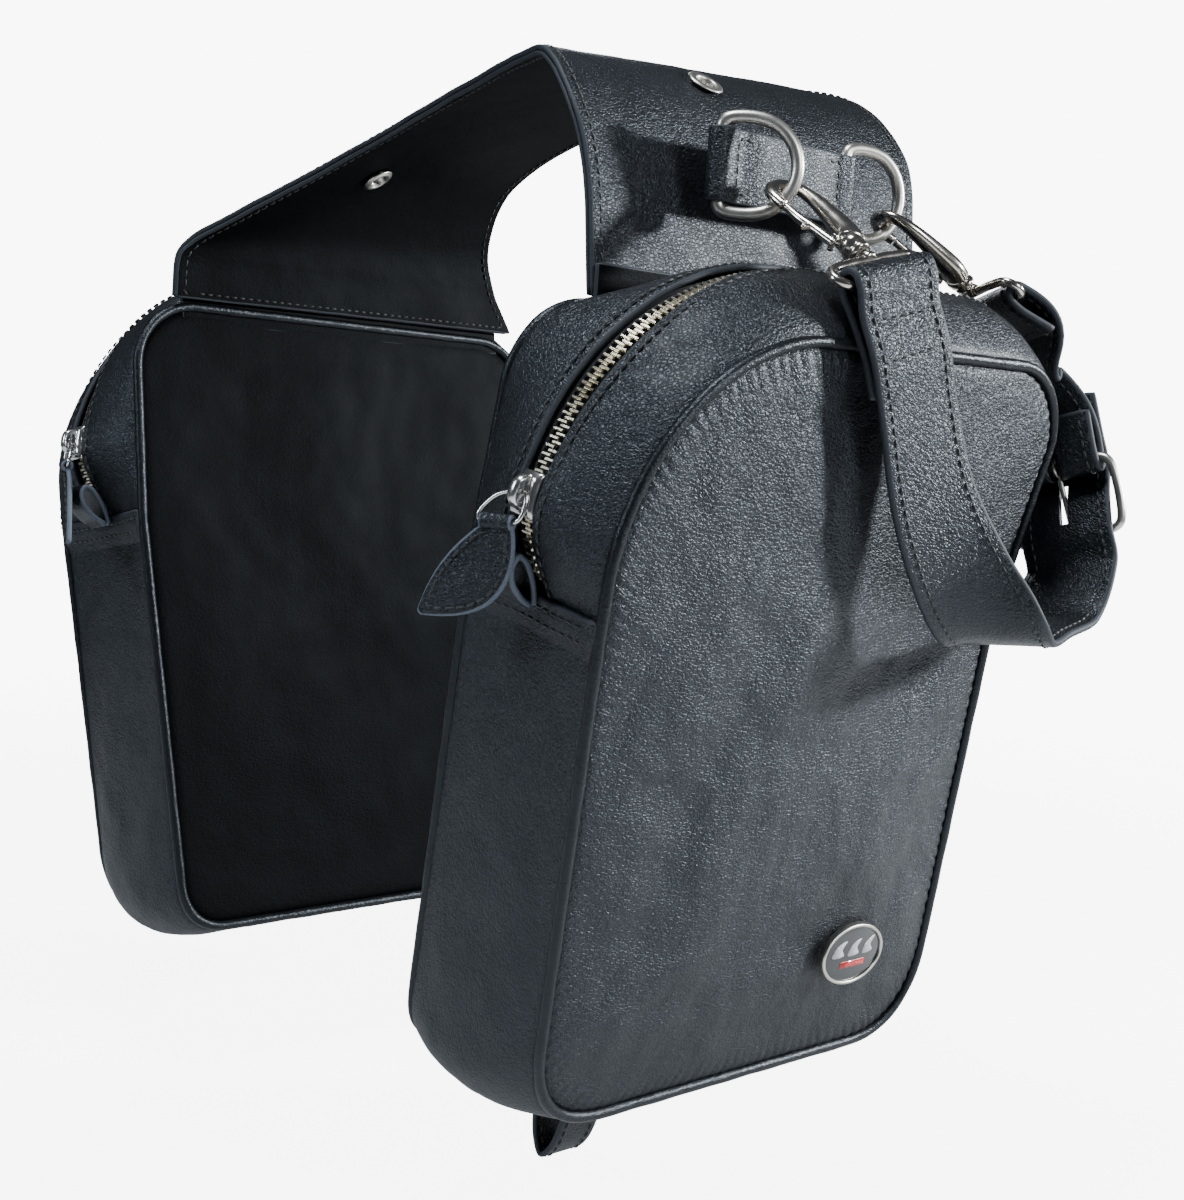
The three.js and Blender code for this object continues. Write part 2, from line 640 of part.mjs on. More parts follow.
const BUCKLE_AT = vec(204.5, 133.5, -66);
const BUCKLE_WIDE = vec(0.93, 0.2, 0.3).normalize();
const BUCKLE_OUT = vec(-0.2, 0.97, 0).projectOnPlane(BUCKLE_WIDE).normalize();
const BUCKLE_UP = BUCKLE_WIDE.clone().cross(BUCKLE_OUT).normalize();
const BUCKLE_HALF_WIDE = 23.5;
const BUCKLE_HALF_TALL = 15.5;
const BUCKLE_WIRE = 1.9;
const PRONG_WIRE = 1.2;

// A point on the buckle: across, up its plane, and out of it, away from the bag.
const onBuckle = placer(BUCKLE_AT, BUCKLE_WIDE, BUCKLE_UP, BUCKLE_OUT);

function buckleFrame() {
  const [w, h] = [BUCKLE_HALF_WIDE, BUCKLE_HALF_TALL];
  const half = [[w - 3, h], [0, h], [3 - w, h], [-w, h - 3], [-w, 3 - h]];
  const corners = half.concat(half.map(([a, b]) => [-a, -b]));
  return bar(corners.map(([a, b]) => onBuckle(a, b, 0)), BUCKLE_WIRE, 8, true);
}

function bucklePin() {
  const turn = [];
  const reach = BUCKLE_WIRE + 0.4 + PRONG_WIRE;
  for (let i = 0; i < 8; i++) {
    const a = (2 * Math.PI * i) / 8;
    turn.push(onBuckle(0, BUCKLE_HALF_TALL + reach * Math.sin(a), reach * Math.cos(a)));
  }
  const shaft = [[BUCKLE_HALF_TALL - 3, 0.8], [0, 2.6], [-BUCKLE_HALF_TALL - 2, 4.2]];
  const pin = bar(shaft.map(([up, out]) => onBuckle(0, up, out)), PRONG_WIRE, 8);
  return union(bar(turn, PRONG_WIRE, 6, true), pin);
}

// A box between two corners on the buckle, used to cut a slot.
function buckleSlot(low, high) {
  const ring = (b) => [[low[0], low[2]], [high[0], low[2]], [high[0], high[2]], [low[0], high[2]]]
    .map(([a, c]) => onBuckle(a, b, c));
  return loft([ring(low[1]), ring(high[1])]);
}

// The bends of a strap round a bar, from its inner layer over the bar to its outer one.
function foldRound(at) {
  const r = EYE_BAR + SLACK + STRAP_THICK / 2;
  return [at(-r, 2), at(-0.7 * r, -0.7 * r), at(0, -r), at(0.7 * r, -0.7 * r), at(r, 2)];
}

// Each stop of a strap is a point on its middle line and the direction of its width there.
function strapAlong(stops) {
  const points = stops.map(([point]) => point);
  const widths = stops.map(([, wide]) => wide.clone());
  return ribbon(points, widths, STRAP_WIDTH, STRAP_THICK, 3);
}

// The long strap: stitched back on itself at the front hook, down in a loop, and up through the buckle.
function longStrap() {
  const { wide } = hookFrame(FRONT_HOOK);
  const facing = vec(1, -0.1, 0.1).projectOnPlane(wide).normalize();
  const down = facing.clone().cross(wide).normalize();
  down.multiplyScalar(Math.sign(-down.z));
  const at = placer(FRONT_HOOK.eye, facing, down, wide);
  const top = [at(1.8, 42), at(1.2, 28), at(-2.2, 12), ...foldRound(at), at(3.7, 12), at(5.7, 28)];
  const outside = BUCKLE_WIRE + SLACK + 1.5 * STRAP_THICK + 0.8;
  const tip = [[-29, -6.4], [-15.5, -4.6], [-1, 1], [13, outside], [26, outside], [44, outside + 0.6]];
  const strap = strapAlong([
    ...top.map((point) => [point, wide]),
    [vec(227.5, -7, -34), vec(0.1, 0.93, 0.35)],
    [vec(228.8, 6, -68), vec(0.2, 0.9, 0.4)],
    [vec(232.5, 28, -101), vec(0.5, 0.78, 0.3)],
    [vec(235, 45, -117), vec(0.8, 0.5, 0.15)],
    [vec(230, 60, -122), vec(0.93, 0.3, 0.08)],
    [vec(224, 80, -120), vec(0.93, 0.3, 0.08)],
    [vec(218.5, 109, -112), vec(0.8, 0.58, 0.1)],
    ...tip.map(([up, out]) => [onBuckle(0, up, out), BUCKLE_WIDE]),
  ]);
  return cut(strap, buckleSlot([-2, -10, -7], [2, 7, 10]));
}

// The short strap: stitched back on itself at the rear hook and at the buckle's upper bar.
function shortStrap() {
  const { wide } = hookFrame(REAR_HOOK);
  const outward = vec(-0.05, 0.55, 0.83).projectOnPlane(wide).normalize();
  const down = outward.clone().cross(wide).normalize();
  down.multiplyScalar(Math.sign(-down.z));
  const at = placer(REAR_HOOK.eye, outward, down, wide);
  const top = [at(-3.4, 20), ...foldRound(at), at(3.2, 18)];
  const r = BUCKLE_WIRE + SLACK + STRAP_THICK / 2;
  const h = BUCKLE_HALF_TALL;
  const c = 0.7 * r;
  const foot = [[h + 18, 3.4], [h + 3, r], [h - c, c], [h - r, 0], [h - c, -c], [h + 3, -r]];
  const strap = strapAlong([
    ...top.map((point) => [point, wide]),
    [vec(181, 127, -13), vec(0.93, 0, 0.22)],
    ...foot.map(([up, out]) => [onBuckle(0, up, out), BUCKLE_WIDE]),
    [onBuckle(0, h + 20, -3.2), BUCKLE_WIDE],
  ]);
  return cut(strap, buckleSlot([-2.2, h - 8, -8], [2.2, h + 6, 8]));
}

// ---- eyelets ----

const EYELET_SIDES = 16;

// A ring turned about an axis, from a closed profile of radius and height.
function turned(centre, axis, profile) {
  const points = profile.concat([profile[0]]).map(([r, h]) => new THREE.Vector2(r, h));
  const ring = fromManifold(toManifold(new THREE.LatheGeometry(points, EYELET_SIDES)));
  const spin = new THREE.Quaternion().setFromUnitVectors(vec(0, 1, 0), axis);
  ring.applyQuaternion(spin).translate(centre.x, centre.y, centre.z);
  return ring;
}

const EYELETS = [
  { name: 'near', station: 0.735, row: 0.44 },
  { name: 'far', station: 0.33, row: 0.44 },
];

// Each eyelet sits in a hole through both layers: a flanged tube from outside, and a washer under it.
function eyeletPlace({ station, row }) {
  const line = (s) => {
    const ends = [YOKE_FRONT, YOKE_MIDDLE, YOKE_REAR];
    const across = ends.map((p) => new THREE.CatmullRomCurve3(p, false, 'centripetal').getPoint(s));
    return new THREE.CatmullRomCurve3(across);
  };
  const centre = line(station).getPoint(row);
  const along = line(station + 0.01).getPoint(row).sub(line(station - 0.01).getPoint(row));
  const across = line(station).getPoint(row + 0.02).sub(line(station).getPoint(row - 0.02));
  return { centre, axis: along.cross(across).normalize() };
}

function addEyelets(yoke, lining) {
  const holes = EYELETS.map((eyelet) => {
    const { centre, axis } = eyeletPlace(eyelet);
    const lift = centre.clone().addScaledVector(axis, 0.9);
    const tube = [[4.1, -7.4], [5, -7.4], [5, 0.2], [8, 0.2], [8, 1.2], [4.1, 1.2]];
    const washer = [[5.3, -7.8], [8, -7.8], [8, -6.8], [5.3, -6.8]];
    add(`${eyelet.name}_eyelet`, turned(lift, axis, tube), NICKEL_LOOK);
    add(`${eyelet.name}_eyelet_washer`, turned(lift, axis, washer), NICKEL_LOOK);
    return bar([-12, 0, 6].map((k) => lift.clone().addScaledVector(axis, k)), 5.6, 12);
  });
  add('yoke', holes.reduce(cut, yoke), LEATHER_LOOK);
  add('yoke_lining', holes.reduce(cut, lining), LEATHER_LOOK);
}

addYoke();
addRings();
addBagShells();
addZip();
addPulls();
add('near_bottom_loop', bottomLoop(), LEATHER_LOOK);
addPair('badge', badge(), BADGE_LOOK);
for (const hook of [FRONT_HOOK, REAR_HOOK]) {
  add(`${hook.name}_hook`, hookBody(hook), NICKEL_LOOK);
  add(`${hook.name}_hook_gate`, hookGate(hook), NICKEL_LOOK);
  add(`${hook.name}_hook_eye`, hookEye(hook), NICKEL_LOOK);
}
add('long_strap', longStrap(), LEATHER_LOOK);
add('short_strap', shortStrap(), LEATHER_LOOK);
add('buckle_frame', buckleFrame(), NICKEL_LOOK);
add('buckle_prong', bucklePin(), NICKEL_LOOK);

export default model;
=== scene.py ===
import math

import bmesh
import bpy
import numpy as np
from mathutils import Matrix, Vector, noise


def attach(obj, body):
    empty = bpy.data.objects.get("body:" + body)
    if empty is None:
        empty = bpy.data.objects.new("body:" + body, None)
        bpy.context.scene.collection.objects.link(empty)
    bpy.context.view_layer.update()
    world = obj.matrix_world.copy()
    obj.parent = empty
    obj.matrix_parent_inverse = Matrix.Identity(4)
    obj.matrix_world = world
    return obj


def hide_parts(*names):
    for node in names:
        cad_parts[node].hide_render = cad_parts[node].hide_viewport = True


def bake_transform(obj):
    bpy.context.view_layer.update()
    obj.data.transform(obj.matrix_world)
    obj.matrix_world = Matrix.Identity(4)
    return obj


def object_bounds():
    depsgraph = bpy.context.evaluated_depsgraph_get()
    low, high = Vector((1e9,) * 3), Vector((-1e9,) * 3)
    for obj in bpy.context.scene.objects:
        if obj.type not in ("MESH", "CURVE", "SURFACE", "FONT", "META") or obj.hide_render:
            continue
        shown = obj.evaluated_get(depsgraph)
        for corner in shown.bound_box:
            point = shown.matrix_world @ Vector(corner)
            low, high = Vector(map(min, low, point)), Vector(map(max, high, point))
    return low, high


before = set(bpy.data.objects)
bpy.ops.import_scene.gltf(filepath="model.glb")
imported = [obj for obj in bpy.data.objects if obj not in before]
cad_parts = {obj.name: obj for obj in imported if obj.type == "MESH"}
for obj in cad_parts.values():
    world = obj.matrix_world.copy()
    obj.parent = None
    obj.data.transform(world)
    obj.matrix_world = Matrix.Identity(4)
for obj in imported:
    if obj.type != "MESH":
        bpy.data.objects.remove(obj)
cad_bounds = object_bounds()

# Sizes are millimetres on the seam frame: z = 0 at the two seams between the yoke and the bags.
SEAM_X = 141.0
SEAT_HEIGHT = 102.0
TILT = math.radians(10.5)
BAG_DEPTH = 76.0
BAG_BOTTOM = 302.0
HALF_LEATHER = 1.25
ZIP_HALF_GAP = 6.5
PIPING_RADIUS = 2.3
ZIP_Q = 38.0
ZIP_CENTRE = (-33.0, 88.0)
ZIP_RADIUS = 112.0
STRAP_WIDTH = 38.0
STRAP_THICK = 3.4
WIRE = 2.6


def vec(*p):
    return np.array(p, float)


def unit(v):
    return v / np.maximum(np.linalg.norm(v, axis=-1, keepdims=True), 1e-9)


def square_to(v, n):
    """v without its part along n, at unit length."""
    n = unit(n)
    return unit(v - np.sum(v * n, axis=-1, keepdims=True) * n)


# ---- camera, lights and floor ----

LENS = 52.8492          # millimetres, on a sensor 36 mm high
SENSOR = 36.0
AZIMUTH = math.radians(46.62)
ELEVATION = math.radians(5.437)
ROLL = math.radians(3.978)
CAMERA_AT = Vector((0.62682, -0.54460, -0.15175))
FLOOR_RADIUS = 1.6
WHITE = 9.0             # brightness of the background and floor as the camera sees them


def camera():
    look = Vector((-math.sin(AZIMUTH) * math.cos(ELEVATION), math.cos(AZIMUTH) * math.cos(ELEVATION),
                   -math.sin(ELEVATION)))
    level = Vector((math.cos(AZIMUTH), math.sin(AZIMUTH), 0))
    up = level.cross(look)
    right = level * math.cos(ROLL) + up * math.sin(ROLL)
    up = up * math.cos(ROLL) - level * math.sin(ROLL)
    data = bpy.data.cameras.new("camera")
    data.sensor_fit = "VERTICAL"
    data.sensor_height = SENSOR
    data.lens = LENS
    data.clip_start = 0.01
    obj = bpy.data.objects.new("camera", data)
    bpy.context.collection.objects.link(obj)
    obj.matrix_world = Matrix((
        (right.x, up.x, -look.x, CAMERA_AT.x),
        (right.y, up.y, -look.y, CAMERA_AT.y),
        (right.z, up.z, -look.z, CAMERA_AT.z),
        (0, 0, 0, 1),
    ))
    bpy.context.scene.camera = obj


def area_light(name, at, aim, size, power, colour=(1, 1, 1)):
    data = bpy.data.lights.new(name, "AREA")
    data.shape = "RECTANGLE"
    data.size, data.size_y = size
    data.energy = power
    data.color = colour
    obj = bpy.data.objects.new(name, data)
    bpy.context.collection.objects.link(obj)
    obj.location = at
    obj.rotation_euler = (Vector(aim) - Vector(at)).to_track_quat("-Z", "Y").to_euler()


def studio():
    middle = (0.12, 0, -0.22)
    area_light("key", (1.05, 1.30, 0.30), middle, (0.14, 0.14), 46, (0.93, 0.97, 1))
    area_light("right", (1.6, 0.1, 0.45), middle, (0.4, 0.4), 13, (0.9, 0.95, 1))
    area_light("front", (-0.45, -1.5, 0.5), (0.1, 0, -0.2), (0.3, 0.6), 11, (0.8, 0.9, 1))
    area_light("top", (0.15, -0.35, 1.25), (0.05, 0, 0), (0.4, 0.3), 22, (0.9, 0.95, 1))
    area_light("back", (-1.2, 0.9, 0.5), (0, 0, -0.1), (0.4, 0.4), 6, (0.9, 0.95, 1))
    world = bpy.data.worlds.new("studio")
    world.use_nodes = True
    nodes, links = world.node_tree.nodes, world.node_tree.links
    dim = nodes["Background"]
    dim.inputs[0].default_value = (0.75, 0.85, 1, 1)
    dim.inputs[1].default_value = 0.07
    seen = nodes.new("ShaderNodeBackground")
    seen.inputs[0].default_value = (1, 1, 1, 1)
    seen.inputs[1].default_value = WHITE
    path = nodes.new("ShaderNodeLightPath")
    mix = nodes.new("ShaderNodeMixShader")
    links.new(path.outputs["Is Camera Ray"], mix.inputs[0])
    links.new(dim.outputs[0], mix.inputs[1])
    links.new(seen.outputs[0], mix.inputs[2])
    links.new(mix.outputs[0], nodes["World Output"].inputs[0])
    bpy.context.scene.world = world


def floor():
    """A pale floor that fades into the white background at its rim."""
    low = cad_bounds[0][2] - 0.012
    mesh = bpy.data.meshes.new("floor")
    build = bmesh.new()
    bmesh.ops.create_circle(build, cap_ends=True, segments=96, radius=FLOOR_RADIUS)
    build.to_mesh(mesh)
    build.free()
    obj = bpy.data.objects.new("floor", mesh)
    obj.location.z = low
    bpy.context.collection.objects.link(obj)
    material = bpy.data.materials.new("floor")
    material.use_nodes = True
    nodes, links = material.node_tree.nodes, material.node_tree.links
    shader = nodes["Principled BSDF"]
    shader.inputs["Base Color"].default_value = (0.8, 0.8, 0.8, 1)
    shader.inputs["Roughness"].default_value = 0.9
    shader.inputs["Specular IOR Level"].default_value = 0.1
    shader.inputs["Emission Color"].default_value = (1, 1, 1, 1)
    path = nodes.new("ShaderNodeLightPath")
    glow = nodes.new("ShaderNodeMath")
    glow.operation = "MULTIPLY"
    glow.inputs[1].default_value = 0.72 * WHITE
    links.new(path.outputs["Is Camera Ray"], glow.inputs[0])
    links.new(glow.outputs[0], shader.inputs["Emission Strength"])
    coords = nodes.new("ShaderNodeTexCoord")
    length = nodes.new("ShaderNodeVectorMath")
    length.operation = "LENGTH"
    fade = nodes.new("ShaderNodeMapRange")
    fade.inputs["From Min"].default_value = 0.35 * FLOOR_RADIUS
    fade.inputs["From Max"].default_value = 0.98 * FLOOR_RADIUS
    fade.inputs["To Min"].default_value = 1.0
    fade.inputs["To Max"].default_value = 0.0
    fade.interpolation_type = "SMOOTHSTEP"
    links.new(coords.outputs["Object"], length.inputs[0])
    links.new(length.outputs["Value"], fade.inputs["Value"])
    links.new(fade.outputs["Result"], shader.inputs["Alpha"])
    mesh.materials.append(material)


# ---- materials ----


class Look:
    """A Principled material built up with a few named nodes."""

    def __init__(self, name, **sockets):
        self.material = bpy.data.materials.new(name)
        self.material.use_nodes = True
        self.tree = self.material.node_tree
        self.shader = self.tree.nodes["Principled BSDF"]
        for key, value in sockets.items():
            self.shader.inputs[key.replace("_", " ")].default_value = value
        self.coords = self.tree.nodes.new("ShaderNodeTexCoord").outputs["Object"]

    def node(self, kind, inputs=None, **settings):
        node = self.tree.nodes.new(kind)
        for key, value in settings.items():
            setattr(node, key, value)
        for key, value in (inputs or {}).items():
            if isinstance(value, bpy.types.NodeSocket):
                self.tree.links.new(value, node.inputs[key])
            else:
                node.inputs[key].default_value = value
        return node

    def noise(self, scale, detail=3.0, vector=None, roughness=0.55):
        inputs = {"Vector": vector or self.coords, "Scale": scale, "Detail": detail, "Roughness": roughness}
        return self.node("ShaderNodeTexNoise", inputs).outputs["Fac"]

    def ramp(self, value, stops):
        node = self.node("ShaderNodeValToRGB", {"Fac": value})
        for i, (at, colour) in enumerate(stops):
            element = node.color_ramp.elements[i] if i < 2 else node.color_ramp.elements.new(at)
            element.position = at
            element.color = (*colour, 1) if len(colour) == 3 else (colour[0],) * 3 + (1,)
        return node.outputs["Color"]

    def maths(self, operation, a, b=0.0):
        return self.node("ShaderNodeMath", {0: a, 1: b}, operation=operation).outputs[0]

    def bump(self, height, distance, strength=1.0, under=None):
        inputs = {"Height": height, "Distance": distance, "Strength": strength}
        if under is not None:
            inputs["Normal"] = under
        return self.node("ShaderNodeBump", inputs).outputs["Normal"]

    def link(self, output, socket):
        self.tree.links.new(output, self.shader.inputs[socket])


def leather(name, tint, cell, depth, rough, shine=0.5):
    """Pebble-grained leather: rounded cells with finer pores between them, and a few long creases."""
    look = Look(name, Specular_IOR_Level=shine, Coat_Weight=0.1 * shine, Coat_Roughness=0.32)
    look.shader.inputs["Specular Tint"].default_value = (0.8, 0.89, 1.0, 1)
    drift = look.node("ShaderNodeTexNoise", {"Vector": look.coords, "Scale": 900.0, "Detail": 1.0})
    vector = "ShaderNodeVectorMath"
    offset = look.node(vector, {0: drift.outputs["Color"], "Scale": 0.0009}, operation="SCALE")
    bent = look.node(vector, {0: look.coords, 1: offset.outputs[0]}, operation="ADD").outputs[0]
    bent = look.node(vector, {0: bent, 1: (1.0, 0.72, 1.12)}, operation="MULTIPLY").outputs[0]
    inputs = {"Vector": bent, "Scale": 1000.0 / cell, "Smoothness": 0.55}
    pebble = look.node("ShaderNodeTexVoronoi", inputs, feature="SMOOTH_F1").outputs["Distance"]
    inputs = {"Vector": bent, "Scale": 1250.0 / cell}
    border = look.node("ShaderNodeTexVoronoi", inputs, feature="DISTANCE_TO_EDGE").outputs["Distance"]
    plateau = look.maths("MINIMUM", look.maths("MULTIPLY", border, 4.5), 1.0)
    fine = look.noise(2600.0, 2.0)
    crease = look.noise(55.0, 5.0)
    swell = look.noise(260.0, 3.0)
    raised = look.maths("SUBTRACT", 0.62, pebble)
    domed = look.maths("MULTIPLY_ADD", plateau, 0.34)
    look.tree.links.new(look.maths("MULTIPLY", raised, 0.62), domed.node.inputs[2])
    mixed = look.maths("MULTIPLY_ADD", fine, 0.1)
    look.tree.links.new(domed, mixed.node.inputs[2])
    low = look.bump(crease, 0.0016, 0.16)
    middle = look.bump(swell, 0.0005, 0.25, low)
    look.link(look.bump(mixed, depth / 1000.0, 0.85, middle), "Normal")
    # Base colour follows the grain height: pebble tops lighter as a painted highlight, creases darker as
    # painted shade
    dark = tuple(0.55 * c for c in tint)
    light = tuple(1.35 * c for c in tint)
    look.link(look.ramp(domed, [(0.15, dark), (0.6, light)]), "Base Color")
    worn = look.maths("MULTIPLY_ADD", look.noise(38.0, 4.0), 0.16)
    worn.node.inputs[2].default_value = rough - 0.08
    look.link(worn, "Roughness")
    return look.material


def cut_edge(name, tint):
    """The dyed edge of a cut sheet: fibrous, matt and a little paler than its faces."""
    look = Look(name, Roughness=0.62, Specular_IOR_Level=0.4)
    fibre = look.noise(1500.0, 4.0)
    dark = tuple(0.6 * c for c in tint)
    look.link(look.ramp(fibre, [(0.3, dark), (0.7, tint)]), "Base Color")
    look.link(look.bump(fibre, 0.0002, 0.6), "Normal")
    return look.material


def metal(name, tint, rough, scratch=0.5):
    """Plated metal: soft brushing, fine scratches and slightly uneven gloss."""
    look = Look(name, Metallic=1.0)
    haze = look.noise(180.0, 4.0)
    fine = look.noise(1800.0, 3.0)
    dark = tuple(0.86 * c for c in tint)
    look.link(look.ramp(haze, [(0.3, dark), (0.7, tint)]), "Base Color")
    gloss = look.maths("MULTIPLY_ADD", haze, 0.14)
    gloss.node.inputs[2].default_value = rough - 0.07
    look.link(gloss, "Roughness")
    look.link(look.bump(fine, 0.00006, scratch), "Normal")
    return look.material


def woven(name, tint):
    """Woven zip tape: fine crossing ribs."""
    look = Look(name, Roughness=0.85, Sheen_Weight=0.2, Sheen_Roughness=0.4)
    ribs = look.node("ShaderNodeTexVoronoi", {"Vector": look.coords, "Scale": 1500.0}).outputs["Distance"]
    dark = tuple(0.4 * c for c in tint)
    look.link(look.ramp(ribs, [(0.1, tint), (0.8, dark)]), "Base Color")
    look.link(look.bump(look.maths("SUBTRACT", 1.0, ribs), 0.0003, 0.8), "Normal")
    return look.material


def thread(name, tint):
    """Bonded sewing thread with its twist."""
    look = Look(name, Roughness=0.5, Sheen_Weight=0.15)
    inputs = {"Vector": look.coords, "Scale": 900.0, "Distortion": 2.0}
    twist = look.node("ShaderNodeTexWave", inputs).outputs["Fac"]
    dark = tuple(0.6 * c for c in tint)
    look.link(look.ramp(twist, [(0.2, dark), (0.8, tint)]), "Base Color")
    look.link(look.bump(twist, 0.0001, 0.6), "Normal")
    return look.material


def enamel(name, tint, rough=0.14):
    """Glossy enamel with a very light orange peel."""
    look = Look(name, Coat_Weight=0.6, Coat_Roughness=0.06)
    peel = look.noise(420.0, 2.0)
    dark = tuple(0.8 * c for c in tint)
    look.link(look.ramp(peel, [(0.3, dark), (0.7, tint)]), "Base Color")
    gloss = look.maths("MULTIPLY_ADD", peel, 0.06)
    gloss.node.inputs[2].default_value = rough
    look.link(gloss, "Roughness")
    look.link(look.bump(peel, 0.00005, 0.5), "Normal")
    return look.material


GRAIN = leather("grain_leather", (0.0052, 0.0059, 0.0074), 1.75, 0.62, 0.43)
SMALL_GRAIN = leather("small_grain_leather", (0.0048, 0.0055, 0.0068), 1.6, 0.5, 0.4)
# Near-black lining leather, made darker than the lining itself: the extra darkness is painted shade for the
# faces between the bags that the lamps still reach
BACKING_WITH_PAINTED_SHADE = leather("backing_leather_painted_shade", (0.0008, 0.0008, 0.0009), 1.4, 0.2, 0.6, 0.07)
ROLLED = leather("rolled_leather", (0.0035, 0.0041, 0.0052), 1.5, 0.2, 0.36, 0.4)
EDGE = cut_edge("leather_edge", (0.030, 0.036, 0.046))
PALE_EDGE = cut_edge("pale_leather_edge", (0.12, 0.145, 0.185))
NICKEL = metal("satin_nickel", (0.66, 0.63, 0.58), 0.36)
WARM = metal("warm_nickel", (0.72, 0.66, 0.59), 0.2, 0.25)
BRIGHT = metal("bright_nickel", (0.78, 0.77, 0.74), 0.22, 0.3)
TOOTH = metal("zip_tooth", (0.80, 0.73, 0.57), 0.27)
TAPE = woven("zip_tape", (0.028, 0.031, 0.038))
THREAD = thread("black_thread", (0.013, 0.014, 0.017))
BLACK_ENAMEL = enamel("black_enamel", (0.008, 0.008, 0.010))
PALE_ENAMEL = enamel("pale_enamel", (0.62, 0.62, 0.60), 0.25)
RED_ENAMEL = enamel("red_enamel", (0.62, 0.012, 0.016), 0.25)


# ---- meshes ----


def band(a, b, count):
    """Faces between two rings of points that start at indices a and b."""
    return [(a + i, a + (i + 1) % count, b + (i + 1) % count, b + i) for i in range(count)]


def to_row(points):
    """Millimetres on the seam frame to metres in the row frame."""
    points = np.asarray(points, float)
    return (points - (0, 0, SEAT_HEIGHT)) / 1000.0


def add_piece(name, verts, faces, materials, indices, body, replaces=(), mirror=False):
    verts = to_row(verts)
    if mirror:
        verts = verts * (-1, 1, 1)
    mesh = bpy.data.meshes.new(name)
    mesh.from_pydata([tuple(v) for v in verts], [], [tuple(f) for f in faces])
    for material in materials:
        mesh.materials.append(material)
    if indices is not None:
        mesh.polygons.foreach_set("material_index", np.asarray(indices, np.int32))
    build = bmesh.new()
    build.from_mesh(mesh)
    bmesh.ops.recalc_face_normals(build, faces=build.faces)
    build.to_mesh(mesh)
    build.free()
    mesh.polygons.foreach_set("use_smooth", np.ones(len(mesh.polygons), bool))
    obj = bpy.data.objects.new(name, mesh)
    bpy.context.collection.objects.link(obj)
    if body is not None:
        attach(obj, body)
    if replaces:
        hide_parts(*replaces)
    return obj


def normals_of(grid, wrap=False):
    if wrap:
        padded = np.concatenate([grid[:, -1:], grid, grid[:, :1]], axis=1)
        across = np.gradient(padded, axis=1)[:, 1:-1]
    else:
        across = np.gradient(grid, axis=1)
    along = np.gradient(grid, axis=0)
    return unit(np.cross(along, across))


def shell(grid, low, high, outward=None, wrap=False):
    """A sheet with rounded cut edges. Faces that belong to the edge get material 1.
    wrap is for a round panel: row 0 is its middle and the last row its outline."""
    rows, columns = grid.shape[:2]
    n = normals_of(grid, wrap)
    if outward is not None and np.sum(n * outward(grid)) < 0:
        n = -n
    if wrap:
        n[0] = unit(n[1].mean(axis=0))
    top = (grid + n * high[..., None] if np.ndim(high) else grid + n * high).reshape(-1, 3)
    bottom = (grid + n * low[..., None] if np.ndim(low) else grid + n * low).reshape(-1, 3)
    count = rows * columns
    index = np.arange(count).reshape(rows, columns)
    if wrap:
        loop = index[-1]
        inner = index[-2]
        cells = [(index[r, c], index[r, (c + 1) % columns], index[r + 1, (c + 1) % columns], index[r + 1, c])
                 for r in range(1, rows - 1) for c in range(columns)]
        fan = [(index[0, 0], index[1, (c + 1) % columns], index[1, c]) for c in range(columns)]
    else:
        loop = np.concatenate([index[0, :-1], index[:-1, -1], index[-1, :0:-1], index[:0:-1, 0]])
        inner_rows = np.clip(np.arange(rows), 1, rows - 2)[:, None]
        inner_columns = np.clip(np.arange(columns), 1, columns - 2)
        inner = (inner_rows * columns + inner_columns).reshape(-1)[loop]
        cells = [(index[r, c], index[r, c + 1], index[r + 1, c + 1], index[r + 1, c])
                 for r in range(rows - 1) for c in range(columns - 1)]
        fan = []
    faces = cells + fan
    faces += [tuple(count + i for i in reversed(f)) for f in faces]
    body_faces = len(faces)
    middle = (top + bottom) / 2
    flat_n = unit(top - bottom)
    out = square_to(middle[loop] - middle[inner], flat_n[loop])
    half = np.linalg.norm(top[loop] - bottom[loop], axis=1, keepdims=True) / 2
    rims = []
    for angle in (30, 60, 90, 120, 150):
        a = math.radians(angle)
        rims.append(middle[loop] + flat_n[loop] * half * math.cos(a) + out * half * math.sin(a))
    verts = np.concatenate([top, bottom] + rims)
    size = len(loop)
    rings = [loop] + [2 * count + k * size + np.arange(size) for k in range(len(rims))] + [count + loop]
    for a, b in zip(rings, rings[1:]):
        faces += [(a[i], a[(i + 1) % size], b[(i + 1) % size], b[i]) for i in range(size)]
    indices = np.zeros(len(faces), int)
    indices[body_faces:] = 1
    used = np.unique(np.concatenate([np.asarray(f) for f in faces]))
    if len(used) < len(verts):
        remap = np.full(len(verts), -1)
        remap[used] = np.arange(len(used))
        verts = verts[used]
        faces = [tuple(remap[i] for i in f) for f in faces]
    return verts, faces, indices


